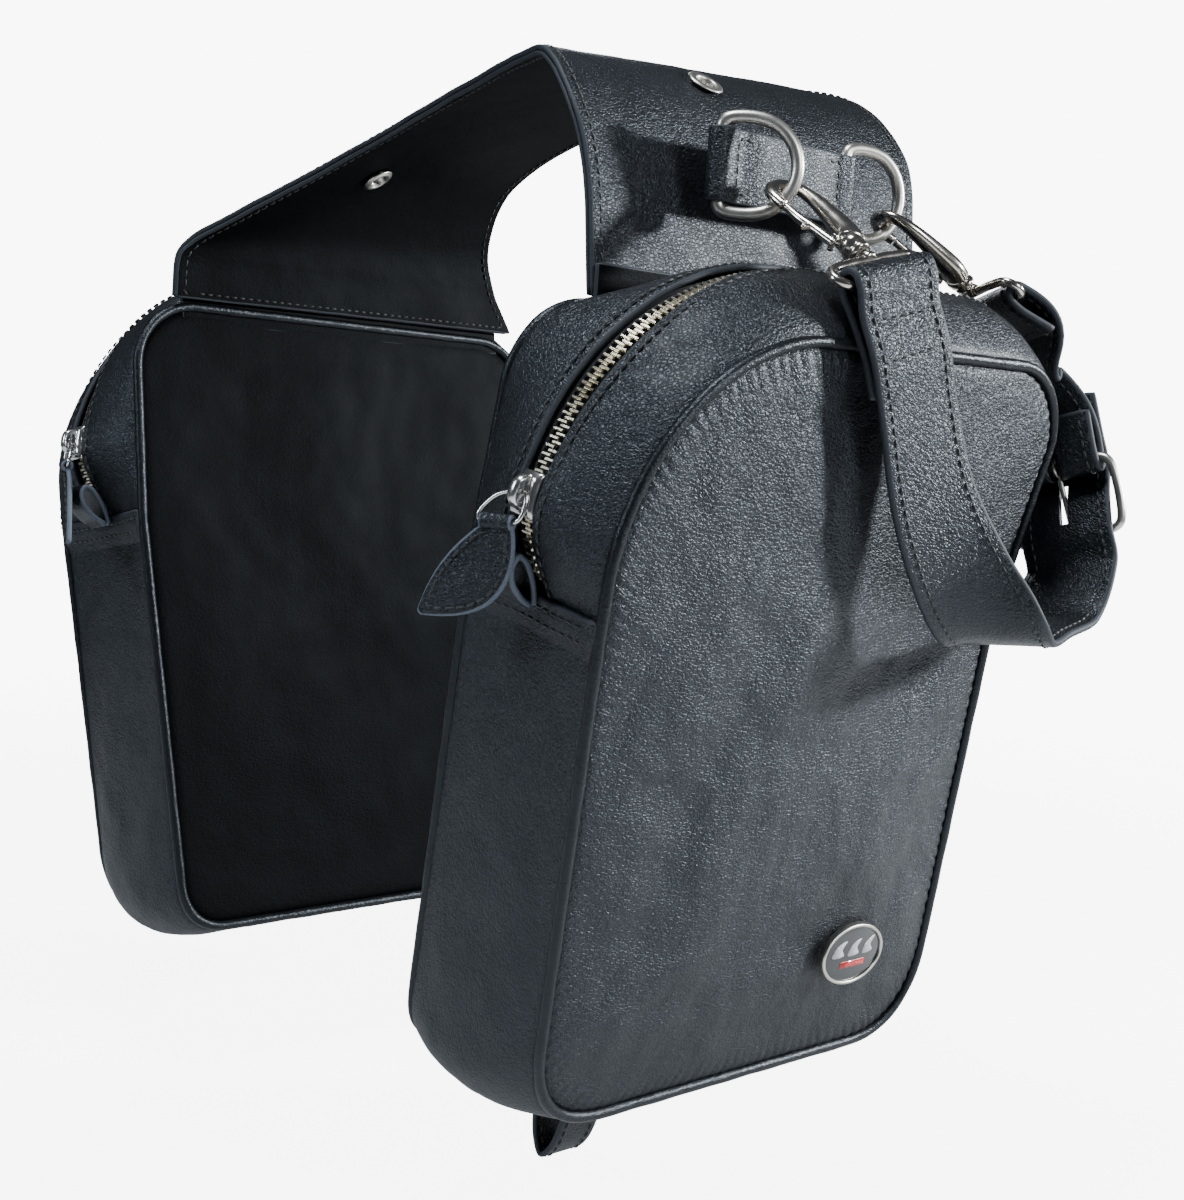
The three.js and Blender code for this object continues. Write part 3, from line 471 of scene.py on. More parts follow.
def catmull(points, t, closed=False):
    """A centripetal Catmull-Rom curve through points, at an array of t from 0 to 1."""
    points = np.asarray(points, float)
    count = len(points)
    spans = count if closed else count - 1
    p = np.clip(np.asarray(t, float), 0, 1) * spans
    i = np.minimum(p.astype(int), spans - 1)
    w = (p - i)[:, None]
    if closed:
        p0, p1, p2, p3 = (points[(i + k) % count] for k in (-1, 0, 1, 2))
    else:
        ends = np.concatenate([[2 * points[0] - points[1]], points, [2 * points[-1] - points[-2]]])
        p0, p1, p2, p3 = (ends[i + k] for k in (0, 1, 2, 3))
    d0, d1, d2 = (np.maximum(np.linalg.norm(b - a, axis=1, keepdims=True), 1e-6) ** 0.5
                  for a, b in ((p0, p1), (p1, p2), (p2, p3)))
    t1 = ((p1 - p0) / d0 - (p2 - p0) / (d0 + d1) + (p2 - p1) / d1) * d1
    t2 = ((p2 - p1) / d1 - (p3 - p1) / (d1 + d2) + (p3 - p2) / d2) * d1
    c2 = -3 * p1 + 3 * p2 - 2 * t1 - t2
    c3 = 2 * p1 - 2 * p2 + t1 + t2
    return p1 + t1 * w + c2 * w ** 2 + c3 * w ** 3


def resample(points, count, closed=False):
    """Points spaced evenly along a polyline."""
    points = np.asarray(points, float)
    if closed:
        points = np.concatenate([points, points[:1]])
    steps = np.linalg.norm(np.diff(points, axis=0), axis=1)
    at = np.concatenate([[0], np.cumsum(steps)])
    want = np.linspace(0, at[-1], count + 1)[:-1] if closed else np.linspace(0, at[-1], count)
    return np.stack([np.interp(want, at, points[:, k]) for k in range(points.shape[1])], axis=1)


def tangents(points, closed=False):
    if closed:
        return unit(np.roll(points, -1, axis=0) - np.roll(points, 1, axis=0))
    return unit(np.gradient(points, axis=0))


def tube(centres, radius, sides=20, closed=False, flat=1.0, up=None):
    """A round or oval bar along centres. radius may differ along it; flat scales it along up."""
    along = tangents(centres, closed)
    if up is None:
        normal = square_to(vec(0.31, 0.52, 0.79), along[0])
        frames = []
        for t in along:
            normal = square_to(normal, t)
            frames.append(normal)
        frames = np.array(frames)
        if closed:
            first = square_to(frames[-1], along[0])
            other = np.cross(along[0], frames[0])
            twist = math.atan2(float(first @ other), float(first @ frames[0]))
            share = -twist * np.arange(len(along)) / len(along)
            side = np.cross(along, frames)
            frames = frames * np.cos(share)[:, None] + side * np.sin(share)[:, None]
    else:
        frames = square_to(np.broadcast_to(up, along.shape), along)
    side = np.cross(along, frames)
    radius = np.broadcast_to(radius, (len(centres),))
    angles = np.arange(sides) * 2 * math.pi / sides
    ring = (frames[:, None] * (flat * np.cos(angles))[None, :, None]
            + side[:, None] * np.sin(angles)[None, :, None])
    verts = (centres[:, None] + ring * radius[:, None, None]).reshape(-1, 3)
    count = len(centres)
    faces = []
    for r in range(count if closed else count - 1):
        a, b = r * sides, ((r + 1) % count) * sides
        faces += band(a, b, sides)
    if not closed:
        faces += [tuple(range(sides))[::-1], tuple((count - 1) * sides + i for i in range(sides))]
    return verts, faces


def lathe(centre, axis, profile, sides=48):
    """A ring turned about an axis from a closed profile of (radius, height)."""
    axis = unit(axis)
    u = square_to(vec(0.3, 0.9, 0.1), axis)
    v = np.cross(axis, u)
    angles = np.arange(sides) * 2 * math.pi / sides
    spin = u * np.cos(angles)[:, None] + v * np.sin(angles)[:, None]
    verts = np.concatenate([centre + spin * r + axis * h for r, h in profile])
    count = len(profile)
    faces = []
    for k in range(count):
        a, b = k * sides, ((k + 1) % count) * sides
        faces += band(a, b, sides)
    return verts, faces


def joined(*parts):
    """Several (verts, faces) as one."""
    verts, faces, start = [], [], 0
    for v, f in parts:
        verts.append(v)
        faces += [tuple(start + i for i in face) for face in f]
        start += len(v)
    return np.concatenate(verts), faces


def placer(origin, u, v, w):
    return lambda a, b, c=0.0: origin + a * u + b * v + c * w


# ---- stitching ----

STITCH_PITCH = 4.6
STITCH_LENGTH = 3.4
STITCH_RADIUS = 0.5
STITCH_PROFILE = ((-0.5, 0.3, -0.3), (-0.38, 0.85, 0.05), (0, 1, 0.16), (0.38, 0.85, 0.05), (0.5, 0.3, -0.3))
sewn = {}


def sew(key, path, normal, closed=False, sink=0.12):
    """A row of stitches along a path, lying on a surface with the given normals."""
    dense = np.asarray(path, float)
    data = np.concatenate([dense, np.broadcast_to(normal, dense.shape)], axis=1)
    ring = np.concatenate([dense, dense[:1]]) if closed else dense
    length = float(np.linalg.norm(np.diff(ring, axis=0), axis=1).sum())
    count = max(2, round(length / STITCH_PITCH))
    spots = resample(data, count + 1, closed)
    at = spots[:, :3]
    along = tangents(at, closed)
    up = square_to(spots[:, 3:], along)
    for p, t, n in zip(at[:-1], along, up):
        side = np.cross(t, n)
        rings = []
        for s, r, lift in STITCH_PROFILE:
            centre = p + t * s * STITCH_LENGTH + n * (lift - sink)
            angles = np.arange(6) * math.pi / 3
            spin = n * np.cos(angles)[:, None] + side * np.sin(angles)[:, None]
            rings.append(centre + STITCH_RADIUS * r * spin)
        verts = np.concatenate(rings)
        faces = []
        for k in range(4):
            faces += band(6 * k, 6 * k + 6, 6)
        faces += [tuple(range(6))[::-1], tuple(range(24, 30))]
        sewn.setdefault(key, []).append((verts, faces))


def add_stitches():
    for (body, name, mirror), parts in sewn.items():
        verts, faces = joined(*parts)
        add_piece(name, verts, faces, [THREAD], None, body, mirror=mirror)


def rough(points, size, amount, seed=0.0):
    """Smooth noise over points, in millimetres."""
    flat = points.reshape(-1, 3) / size
    shift = Vector((seed, 2.7 * seed, 0.4 * seed))
    values = np.array([noise.fractal(Vector(p) + shift, 0.9, 2.1, 3) for p in flat])
    return amount * values.reshape(points.shape[:-1])


# ---- yoke ----

YOKE_FRONT = [(-141, -110, 2), (-139, -110, 22), (-134, -106, 30), (-110, -95, 43), (-53, -68, 74),
              (10, -62, 95), (62, -74, 101), (97, -88, 97), (121, -95, 77), (133, -95, 52), (141, -95, 2)]
YOKE_MIDDLE = [(-142, -8, 2), (-143, -8, 22), (-141, -9, 42), (-124, -10, 66), (-75, -6, 92), (0, 2, 107),
               (62, 2, 110), (98, 0, 102), (124, 1, 80), (136, 2, 50), (141, 2, 2)]
YOKE_REAR = [(-141, 99, 2), (-143, 87, 24), (-142, 81, 48), (-130, 83, 78), (-85, 96, 106), (0, 102, 118),
             (66, 103, 117), (102, 103, 106), (125, 105, 82), (135, 101, 48), (141, 98, 2)]
EYELETS = {"near": (0.735, 0.44), "far": (0.33, 0.44)}


def yoke_points(stations, across):
    lines = np.stack([catmull(line, stations) for line in (YOKE_FRONT, YOKE_MIDDLE, YOKE_REAR)])
    return np.stack([catmull(lines[:, i], across) for i in range(len(stations))])


def eyelet_place(station, row):
    step = 0.01
    centre = yoke_points([station], [row])[0, 0]
    along = yoke_points([station + step], [row])[0, 0] - yoke_points([station - step], [row])[0, 0]
    across = yoke_points([station], [row + step])[0, 0] - yoke_points([station], [row - step])[0, 0]
    return centre, unit(np.cross(along, across))


def punch(obj, tools):
    """Cuts closed tools out of a piece."""
    for verts, faces in tools:
        mesh = bpy.data.meshes.new("tool")
        mesh.from_pydata([tuple(v) for v in to_row(verts)], [], faces)
        tool = bpy.data.objects.new("tool", mesh)
        bpy.context.collection.objects.link(tool)
        build = bmesh.new()
        build.from_mesh(mesh)
        bmesh.ops.recalc_face_normals(build, faces=build.faces)
        build.to_mesh(mesh)
        build.free()
        modifier = obj.modifiers.new("punch", "BOOLEAN")
        modifier.operation = "DIFFERENCE"
        modifier.object = tool
        graph = bpy.context.evaluated_depsgraph_get()
        result = bpy.data.meshes.new_from_object(obj.evaluated_get(graph))
        obj.modifiers.clear()
        old = obj.data
        obj.data = result
        bpy.data.meshes.remove(old)
        bpy.data.objects.remove(tool)
        bpy.data.meshes.remove(mesh)


def edge_rows(key, surface, insets, u_count, v_count, height):
    """Rows of stitches all round a sheet. surface(u, v) gives points; insets are shares of u and v."""
    du, dv = insets
    u = np.linspace(du, 1 - du, u_count)
    v = np.linspace(dv, 1 - dv, v_count)
    loop_u = np.concatenate([u, np.full(v_count, 1 - du), u[::-1], np.full(v_count, du)])
    loop_v = np.concatenate([np.full(u_count, dv), v, np.full(u_count, 1 - dv), v[::-1]])
    at, normal = surface(loop_u, loop_v)
    sew(key, at + normal * height, normal, closed=True)


def yoke_surface(u, v):
    def point(a, b):
        lines = np.stack([catmull(line, a) for line in (YOKE_FRONT, YOKE_MIDDLE, YOKE_REAR)])
        return np.concatenate([catmull(lines[:, i], [b[i]]) for i in range(len(a))])
    step = 0.004
    inside = lambda x: np.clip(x, step, 1 - step)
    along = point(inside(u) + step, v) - point(inside(u) - step, v)
    across = point(u, inside(v) + step) - point(u, inside(v) - step)
    return point(u, v), unit(np.cross(along, across))


def yoke_underside(u, v):
    at, normal = yoke_surface(u, v)
    return at - 4.3 * normal, -normal


def yoke():
    u = np.linspace(0, 1, 230)
    v = np.linspace(0, 1, 90)
    grid = yoke_points(u, v)
    wave = rough(grid, 46.0, 1.0, 3.0) * 0.9 + rough(grid, 15.0, 0.18, 5.0)
    grid = grid + unit(np.cross(np.gradient(grid, axis=0), np.gradient(grid, axis=1))) * wave[..., None] * 0.6
    holes = []
    for station, row in EYELETS.values():
        centre, axis = eyelet_place(station, row)
        holes.append(tube(np.array([centre - axis * 12, centre, centre + axis * 8]), 5.1, 32))
    up = lambda g: np.broadcast_to(vec(0, 0, 1), g.shape)
    parts = [("yoke", -2.15, 0.0, GRAIN, "leather"), ("yoke_lining", -4.3, -2.25, BACKING_WITH_PAINTED_SHADE, "lining")]
    for name, low, high, look, slot in parts:
        verts, faces, indices = shell(grid, low, high, up)
        looks = [look, EDGE]
        piece = add_piece(f"{name}_leather", verts, faces, looks, indices, "yoke_assembly", [name])
        punch(piece, holes)
    key = ("yoke_assembly", "yoke_stitches", False)
    edge_rows(key, yoke_surface, (0.009, 0.02), 400, 160, 0.1)
    edge_rows(key, yoke_underside, (0.009, 0.02), 400, 160, 0.1)
    for name, (station, row) in EYELETS.items():
        centre, axis = eyelet_place(station, row)
        lift = centre + axis * 0.9
        flange = [(4.1, -7.4), (4.9, -7.4), (4.9, 0.1), (7.4, 0.2), (8, 0.5), (7.7, 1.0), (6.4, 1.4),
                  (5, 1.3), (4.3, 0.7)]
        washer = [(4.95, -6.3), (7.6, -6.3), (8, -6.7), (7.6, -7.2), (6.2, -7.9), (5.0, -7.8), (4.5, -7.2)]
        verts, faces = lathe(lift, axis, flange)
        names = [f"{name}_eyelet"]
        add_piece(f"{name}_eyelet_metal", verts, faces, [NICKEL], None, "yoke_assembly", names)
        verts, faces = lathe(lift, axis, washer)
        names = [f"{name}_eyelet_washer"]
        add_piece(f"{name}_eyelet_ring", verts, faces, [NICKEL], None, "yoke_assembly", names)


# ---- D-rings and their straps ----

STRAP_BAR_X = 150.0
RINGS = {"near": {"z": 56.0, "turns": (45, 78)}, "far": {"z": 38.0, "turns": (62, 78)}}
RING_YS = (-43.0, 32.0)
RING_HALF = 18.4
RING_LEG = 12.0


def turned_z(points, degrees):
    a = math.radians(degrees)
    spin = np.array([[math.cos(a), -math.sin(a), 0], [math.sin(a), math.cos(a), 0], [0, 0, 1]])
    return points @ spin.T


def d_ring(side, place, y, z, turn):
    points = [(0, 0, -12), (0, 0, 0), (0, 0, 12), (1.5, 0, RING_HALF - 1.5)]
    for i in range(7):
        a = math.pi / 2 - math.pi * i / 6
        points.append((RING_LEG + RING_HALF * math.cos(a), 0, RING_HALF * math.sin(a)))
    points.append((1.5, 0, 1.5 - RING_HALF))
    line = resample(catmull(points, np.linspace(0, 1, 400)[:-1], True), 150, True)
    line = turned_z(line, turn) + vec(STRAP_BAR_X, y, z)
    verts, faces = tube(line, WIRE, 24, True)
    name = f"{side}_{place}_dring"
    add_piece(f"{name}_wire", verts, faces, [NICKEL], None, name, [name], mirror=side == "far")


def ring_strap(side, z):
    first, last = RING_YS
    half, wall = WIRE + 0.5, 1.7
    r = half + wall / 2
    turn = [math.pi * k / 24 for k in range(25)]
    line = [(STRAP_BAR_X + r * math.cos(a), last + r * math.sin(a), z) for a in turn]
    line += [(STRAP_BAR_X - r * math.cos(a), first - r * math.sin(a), z) for a in turn]
    line = resample(line, 300, True)
    pinch = np.exp(-((line[:, 1] - first - 9) / 7) ** 2) + np.exp(-((line[:, 1] - last + 9) / 7) ** 2)
    outer = line[:, 0] > STRAP_BAR_X
    middle = (line[:, 1] > first + 6) & (line[:, 1] < last - 6)
    share = np.clip((line[:, 1] - first) / (last - first), 0, 1)
    sag = np.where(middle & outer, -1.0 * np.sin(share * math.pi), 0)
    line[:, 0] += np.where(outer, sag - 1.1 * pinch, 0)
    widths = np.linspace(-13.5, 13.5, 15)
    grid = line[:, None] + np.array([0, 0, 1.0]) * widths[None, :, None]
    grid = np.concatenate([grid, grid[:1]])
    verts, faces, indices = shell(grid, -wall / 2, wall / 2)
    name = f"{side}_ring_strap"
    far = side == "far"
    looks = [SMALL_GRAIN, EDGE]
    add_piece(f"{name}_leather", verts, faces, looks, indices, "yoke_assembly", [name], far)
    key = ("yoke_assembly", f"{side}_ring_strap_stitches", far)
    face = STRAP_BAR_X + half + wall
    for start, stop in ((first + 7, first + 27), (last - 27, last - 7)):
        box = [(start, -10.5), (stop, -10.5), (stop, 10.5), (start, 10.5), (start, -10.5)]
        path = resample([(face - 1.35, y, z + h) for y, h in box], 120)
        sew(key, path, vec(1, 0, 0))


# ---- bags ----

FRONT_SEAM_H = 107.0


def arc(y, h, r, start, stop):
    a = np.linspace(start, stop, 60) * math.pi
    return np.stack([y + r * np.cos(a), h + r * np.sin(a)], axis=1)


def bezier(*p):
    t = np.linspace(0, 1, 40)[:, None]
    p = [np.asarray(q, float) for q in p]
    if len(p) == 3:
        return p[0] * (1 - t) ** 2 + 2 * p[1] * t * (1 - t) + p[2] * t ** 2
    return p[0] * (1 - t) ** 3 + 3 * p[1] * t * (1 - t) ** 2 + 3 * p[2] * t ** 2 * (1 - t) + p[3] * t ** 3


def upper_edge(kind):
    if kind == "inner":
        parts = [[(-131, FRONT_SEAM_H)], arc(-98, 35, 32, 1, 1.5), arc(80, 36, 32, 1.5, 2),
                 [(112, FRONT_SEAM_H)]]
    elif kind == "outer":
        parts = [[(-132, FRONT_SEAM_H)], arc(-45, 86, 88, 1, 1.5), arc(76, 32, 35, 1.5, 1.95),
                 [(99, FRONT_SEAM_H)]]
    else:
        lead = bezier((-129, FRONT_SEAM_H), (-129.5, 98), (-142, 90), (-143.9, 72.4))
        parts = [lead, arc(*ZIP_CENTRE, ZIP_RADIUS, 1.0444, 1.5), arc(64, 34, 58, 1.5, 2),
                 [(114, FRONT_SEAM_H)]]
    return np.concatenate([np.asarray(p, float) for p in parts])


def lower_edge(kind):
    grow = 5 if kind == "middle" else 0
    front = {"inner": -131, "outer": -132, "middle": -129}[kind]
    rear = {"inner": 112, "outer": 99, "middle": 114}[kind]
    corner = 40 if kind == "outer" else 24
    low = BAG_BOTTOM + grow
    back = bezier((109 + grow, low - corner), (109 + grow, low), (109 + grow - corner, low))
    fore = bezier((corner - 119 - grow, low), (-119 - grow, low), (-120 - grow, low - corner))
    return np.concatenate([[(rear, FRONT_SEAM_H)], back, fore, [(front, FRONT_SEAM_H)]])


RAILS = {kind: (resample(upper_edge(kind), 1200), resample(lower_edge(kind), 1200))
         for kind in ("inner", "middle", "outer")}


def bag_point(q, y, h):
    x = SEAM_X - h * math.sin(TILT) + q * math.cos(TILT)
    return np.stack(np.broadcast_arrays(x, y, -h * math.cos(TILT) - q * math.sin(TILT)), axis=-1)


def rail(kind, u):
    """A point of an edge of the bag: u from 0 to 1 over the top, from 1 to 2 under the bottom."""
    u = np.mod(u, 2.0)
    upper, lower = RAILS[kind]
    index = np.where(u < 1, u, u - 1) * 1199
    low = np.minimum(index.astype(int), 1198)
    w = (index - low)[..., None]
    a = np.where((u < 1)[..., None], upper[low], lower[low])
    b = np.where((u < 1)[..., None], upper[low + 1], lower[low + 1])
    return a * (1 - w) + b * w


def bag_side(u, q):
    """The bag's side surface round its whole edge."""
    inner, middle, outer = (rail(kind, u) for kind in ("inner", "middle", "outer"))
    crown = middle - (inner + outer) / 2
    share = (q / BAG_DEPTH)[..., None]
    lift = 1 - np.abs(2 * q / BAG_DEPTH - 1) ** 2.4
    p = inner * (1 - share) + outer * share + crown * lift[..., None]
    return bag_point(q, p[..., 0], p[..., 1])


BAG_MIDDLE = bag_point(BAG_DEPTH / 2, -12.0, 160.0)


def away(points):
    return points - BAG_MIDDLE


def side_grid(u, q, noise_amount=0.7, seed=1.0):
    uu, qq = np.meshgrid(u, q, indexing="ij")
    grid = bag_side(uu, qq)
    n = normals_of(grid)
    if np.sum(n * away(grid)) < 0:
        n = -n
    soft = rough(grid, 34.0, noise_amount, seed) + rough(grid, 11.0, 0.16 * noise_amount, seed + 4) - 0.45
    tuck = 2.2 * (np.clip((3.6 - qq) / 3.6, 0, 1) ** 2 + np.clip((qq - BAG_DEPTH + 4.4) / 4.4, 0, 1) ** 2)
    pin = np.clip(np.minimum(qq - 2, BAG_DEPTH - 2 - qq) / 12, 0, 1)
    return grid + n * (soft * pin - tuck)[..., None], n


def on_side(u, q, height):
    """Points and normals on the bag's side along paths of u and q."""
    step_u, step_q = 0.002, 0.4
    at = bag_side(u, q)
    n = unit(np.cross(bag_side(u + step_u, q) - bag_side(u - step_u, q),
                      bag_side(u, q + step_q) - bag_side(u, q - step_q)))
    if np.sum(n * away(at)) < 0:
        n = -n
    return at + n * height, n


def panel_outline(kind, inset, count):
    upper, lower = RAILS[kind]
    loop = resample(np.concatenate([upper[:-1], lower[:-1]]), count, True)
    along = tangents(loop, True)
    return loop + np.stack([-along[:, 1], along[:, 0]], axis=1) * inset


PANEL_MIDDLE = vec(-12, 160)
PANEL_BULGE = 9.0
PANEL_ROUND = 900.0     # length of a panel's edge
PUCKER = 5.2            # from one gather beside the piping to the next


def dent(y, h, at, size, angle=0.0):
    a = math.radians(angle)
    dy, dh = y - at[0], h - at[1]
    u = (dy * math.cos(a) + dh * math.sin(a)) / size[0]
    v = (-dy * math.sin(a) + dh * math.cos(a)) / size[1]
    return np.exp(-(u ** 2 + v ** 2))


def panel_grid(kind):
    count = 700 if kind == "outer" else 420
    shares = np.concatenate([[0.0], np.linspace(0.04, 0.94, 44), np.linspace(0.955, 1, 10)])
    outline = panel_outline(kind, 1.6, count)
    flat = PANEL_MIDDLE + (outline - PANEL_MIDDLE)[None] * shares[:, None, None]
    y, h = flat[..., 0], flat[..., 1]
    k = shares[:, None] + 0 * y
    inset = np.linalg.norm(outline - PANEL_MIDDLE, axis=1)[None] * (1 - k)
    tuck = 2.6 * np.exp(-inset / 1.6)
    if kind == "outer":
        lift = PANEL_BULGE * (1 - k ** 2.5)
        soft = np.clip(inset / 16, 0, 1)
        lift = lift - 6.5 * dent(y, h, (38, 112), (34, 40), 20) * soft
        lift = lift + 2.6 * dent(y, h, (-22, 110), (20, 55), -12) * soft
        lift = lift - 2.0 * dent(y, h, (-72, 170), (12, 60), 14) * soft
        lift = lift + 1.5 * dent(y, h, (-58, 236), (40, 26), -30) * soft
        lift = lift - 1.6 * dent(y, h, (20, 235), (50, 26), 8) * soft
        flow = np.stack([y, h, 0 * y], axis=-1)
        lift = lift + rough(flow, 30.0, 1.5, 7.0) * soft + rough(flow * (1, 0.55, 1), 9.0, 0.22, 9.0) * soft
        run = np.linspace(0, 1, count, endpoint=False) * PANEL_ROUND
        beat = rough(np.stack([run, 0 * run, 0 * run], axis=1), 60.0, 1.0, 21.0)
        gather = np.sin(2 * math.pi * run / PUCKER + 4 * beat) * (0.55 + 0.7 * np.abs(beat))
        lift = lift + 0.42 * gather[None] * np.exp(-((inset - 4.5) / 5.5) ** 2)
        return bag_point(BAG_DEPTH - HALF_LEATHER + lift - tuck, y, h)
    soft = np.clip(inset / 20, 0, 1)
    flow = np.stack([y, h, 0 * y + 50], axis=-1)
    lift = rough(flow, 60.0, 1.0, 2.0) * soft + 1.8 * (1 - k ** 2)
    return bag_point(HALF_LEATHER + lift + tuck, y, h)


def strip(name, side, u, q_low, q_high, key, rows, seed):
    q = np.linspace(q_low, q_high, 17)
    grid, _ = side_grid(u, q, 0.7, seed)
    verts, faces, indices = shell(grid, -HALF_LEATHER, HALF_LEATHER, away)
    far = side == "far"
    bag = f"{side}_bag"
    node = f"{side}_{name}"
    add_piece(f"{node}_leather", verts, faces, [GRAIN, EDGE], indices, bag, [node], far)
    for q_row in rows:
        path = np.linspace(u[0] + 0.012, u[-1] - 0.012, 900)
        at, n = on_side(path, np.full(900, q_row), 1.3)
        sew(key, at, n)


TOOTH_STEP = 1.585      # from a tooth to the next one on the other tape


def zip_chain(side):
    far = side == "far"
    bag = f"{side}_bag"
    tape_u = np.linspace(0.016, 0.984, 320)
    grid = bag_side(*np.meshgrid(tape_u, np.linspace(ZIP_Q - 11, ZIP_Q + 11, 9), indexing="ij"))
    verts, faces, indices = shell(grid, -4.6, -3.6, away)
    names = [f"{side}_zip_tape"]
    add_piece(f"{names[0]}_cloth", verts, faces, [TAPE, TAPE], indices, bag, names, far)
    path = np.linspace(0.02, 0.98, 3000)
    at, n = on_side(path, np.full(3000, ZIP_Q), -2.6)
    data = np.concatenate([at, n], axis=1)
    length = float(np.linalg.norm(np.diff(at, axis=0), axis=1).sum())
    count = round(length / TOOTH_STEP)
    spots = resample(data, count)
    at, n = spots[:, :3], unit(spots[:, 3:])
    along = tangents(at)
    across = unit(np.cross(along, n))
    block = [(-1, -1, -1), (1, -1, -1), (1, 1, -1), (-1, 1, -1), (-1, -1, 0.35), (1, -1, 0.35), (1, 1, 0.35),
             (-1, 1, 0.35), (-0.62, -0.86, 1), (0.62, -0.86, 1), (0.62, 0.86, 1), (-0.62, 0.86, 1)]
    block = np.array(block) * (0.62, 2.35, 0.85)
    quads = [(0, 3, 2, 1), (8, 9, 10, 11)]
    quads += [(a + k, a + (k + 1) % 4, a + 4 + (k + 1) % 4, a + 4 + k) for a in (0, 4) for k in range(4)]
    parts = []
    for i in range(count):
        lean = 1.15 if i % 2 else -1.15
        moved = block + (0, lean, 0)
        verts = at[i] + moved[:, :1] * along[i] + moved[:, 1:2] * across[i] + moved[:, 2:] * n[i]
        parts.append((verts, quads))
    for edge in (-4.3, 4.3):
        cord_line, cord_n = on_side(np.linspace(0.02, 0.98, 420), np.full(420, ZIP_Q + edge), -3.0)
        parts.append(tube(cord_line, 0.75, 8))
    cord_faces = 2 * len(parts[-1][1])
    verts, faces = joined(*parts)
    indices = np.zeros(len(faces), int)
    indices[-cord_faces:] = 1
    name = f"{side}_zip_teeth"
    piece = add_piece(f"{name}_chain", verts, faces, [TOOTH, TAPE], indices, bag, [name], far)
    piece.data.polygons.foreach_set("use_smooth", np.zeros(len(faces), bool))


def bag_shell(side):
    far = side == "far"
    bag = f"{side}_bag"
    key = (bag, f"{side}_bag_stitches", far)
    half = ZIP_HALF_GAP
    u = np.linspace(0.004, 0.996, 300)
    strip("inner_zip_strip", side, u, 1.4, ZIP_Q - half, key, (ZIP_Q - half - 2.6,), 1.0)
    strip("outer_zip_strip", side, u, ZIP_Q + half, BAG_DEPTH - 1.6, key, (ZIP_Q + half + 2.6,), 6.0)
    zip_chain(side)
    u = np.concatenate([np.linspace(0.985, 1.05, 50)[:-1], np.linspace(1.05, 1.95, 240)[:-1],
                        np.linspace(1.95, 2.0095, 50)])
    q = np.linspace(1.4, BAG_DEPTH - 1.6, 44)
    grid, n = side_grid(u, q, 0.9, 11.0)
    run = np.minimum(np.linalg.norm(grid - grid[:1], axis=-1), np.linalg.norm(grid - grid[-1:], axis=-1))
    raised = np.where(np.linspace(0, 1, len(u)) > 0.5, 2.5, 1.2)[:, None]
    grid = grid + n * (raised * np.clip(1.6 - run / 9.0, 0, 1))[..., None]
    verts, faces, indices = shell(grid, -HALF_LEATHER, HALF_LEATHER, away)
    names = [f"{side}_lower_gusset"]
    add_piece(f"{names[0]}_leather", verts, faces, [GRAIN, EDGE], indices, bag, names, far)
    lay = np.linspace(5.0, BAG_DEPTH - 6.0, 120)
    for end, step in ((0, 1), (-1, -1)):
        for distance in (3.0, 9.0):
            row = grid[end::step, :][:40]
            lengths = np.concatenate([np.zeros((1, row.shape[1])),
                                      np.cumsum(np.linalg.norm(np.diff(row, axis=0), axis=-1), axis=0)])
            spot = np.array([[np.interp(distance, lengths[:, c], row[:, c, k]) for k in range(3)]
                             for c in range(row.shape[1])])
            pick = int(np.argmin(abs(lengths[:, 20] - distance)))
            normal = n[end::step][pick]
            at = np.stack([np.interp(lay, q, spot[:, k]) for k in range(3)], axis=1)
            up = np.stack([np.interp(lay, q, normal[:, k]) for k in range(3)], axis=1)
            sew(key, at + unit(up) * 1.35, up)
    for kind, q_line in (("inner", 0.3), ("outer", BAG_DEPTH - 0.8)):
        line = panel_outline(kind, 0.0, 640)
        centres = bag_point(q_line, line[:, 0], line[:, 1])
        wobble = 1 + 0.05 * np.sin(np.arange(640) * 0.37) * np.sin(np.arange(640) * 0.081)
        verts, faces = tube(centres, PIPING_RADIUS * wobble, 18, True)
        names = [f"{side}_{kind}_piping"]
        add_piece(f"{names[0]}_roll", verts, faces, [ROLLED], None, bag, names, far)
        node = f"{side}_{kind}_panel"
        verts, faces, indices = shell(panel_grid(kind), -HALF_LEATHER, HALF_LEATHER, away, wrap=True)
        # The inner panel gets the near-black backing leather; its darkness is partly the lining's own colour
        # and partly painted shade for the shadow between the bags
        look = GRAIN if kind == "outer" else BACKING_WITH_PAINTED_SHADE
        add_piece(f"{node}_leather", verts, faces, [look, EDGE], indices, bag, [node], far)


def lap(side):
    """The bag's back panel runs up outside the end of the yoke and is sewn to it."""
    far = side == "far"
    rows = np.linspace(0, 1, 40)
    ys = np.linspace(-96 if not far else -104, 92, 80)
    h = 10.0 - 22.0 * rows
    hh, yy = np.meshgrid(h, ys, indexing="ij")
    swing = np.clip((hh + 2) / 8, 0, 1)
    straight = np.stack([SEAM_X + 1.6 + 0 * hh, yy, -hh], axis=-1)
    tilted = bag_point(1.2 + 0 * hh, yy, hh)
    grid = straight * (1 - swing[..., None]) + tilted * swing[..., None]
    verts, faces, indices = shell(grid, -0.9, 0.9)
    piece = add_piece(f"{side}_lap_leather", verts, faces, [BACKING_WITH_PAINTED_SHADE, EDGE], indices, None, (), far)
    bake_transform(piece)


# ---- zip slider and pull ----

SLIDER_ANGLE = 11.0
LUG_OUT = 5.6


def zip_place(out, along, across):
    b = math.radians(SLIDER_ANGLE) + along / ZIP_RADIUS
    r = ZIP_RADIUS + out
    y, h = ZIP_CENTRE[0] - r * math.cos(b), ZIP_CENTRE[1] - r * math.sin(b)
    return bag_point(ZIP_Q + across, y, h)


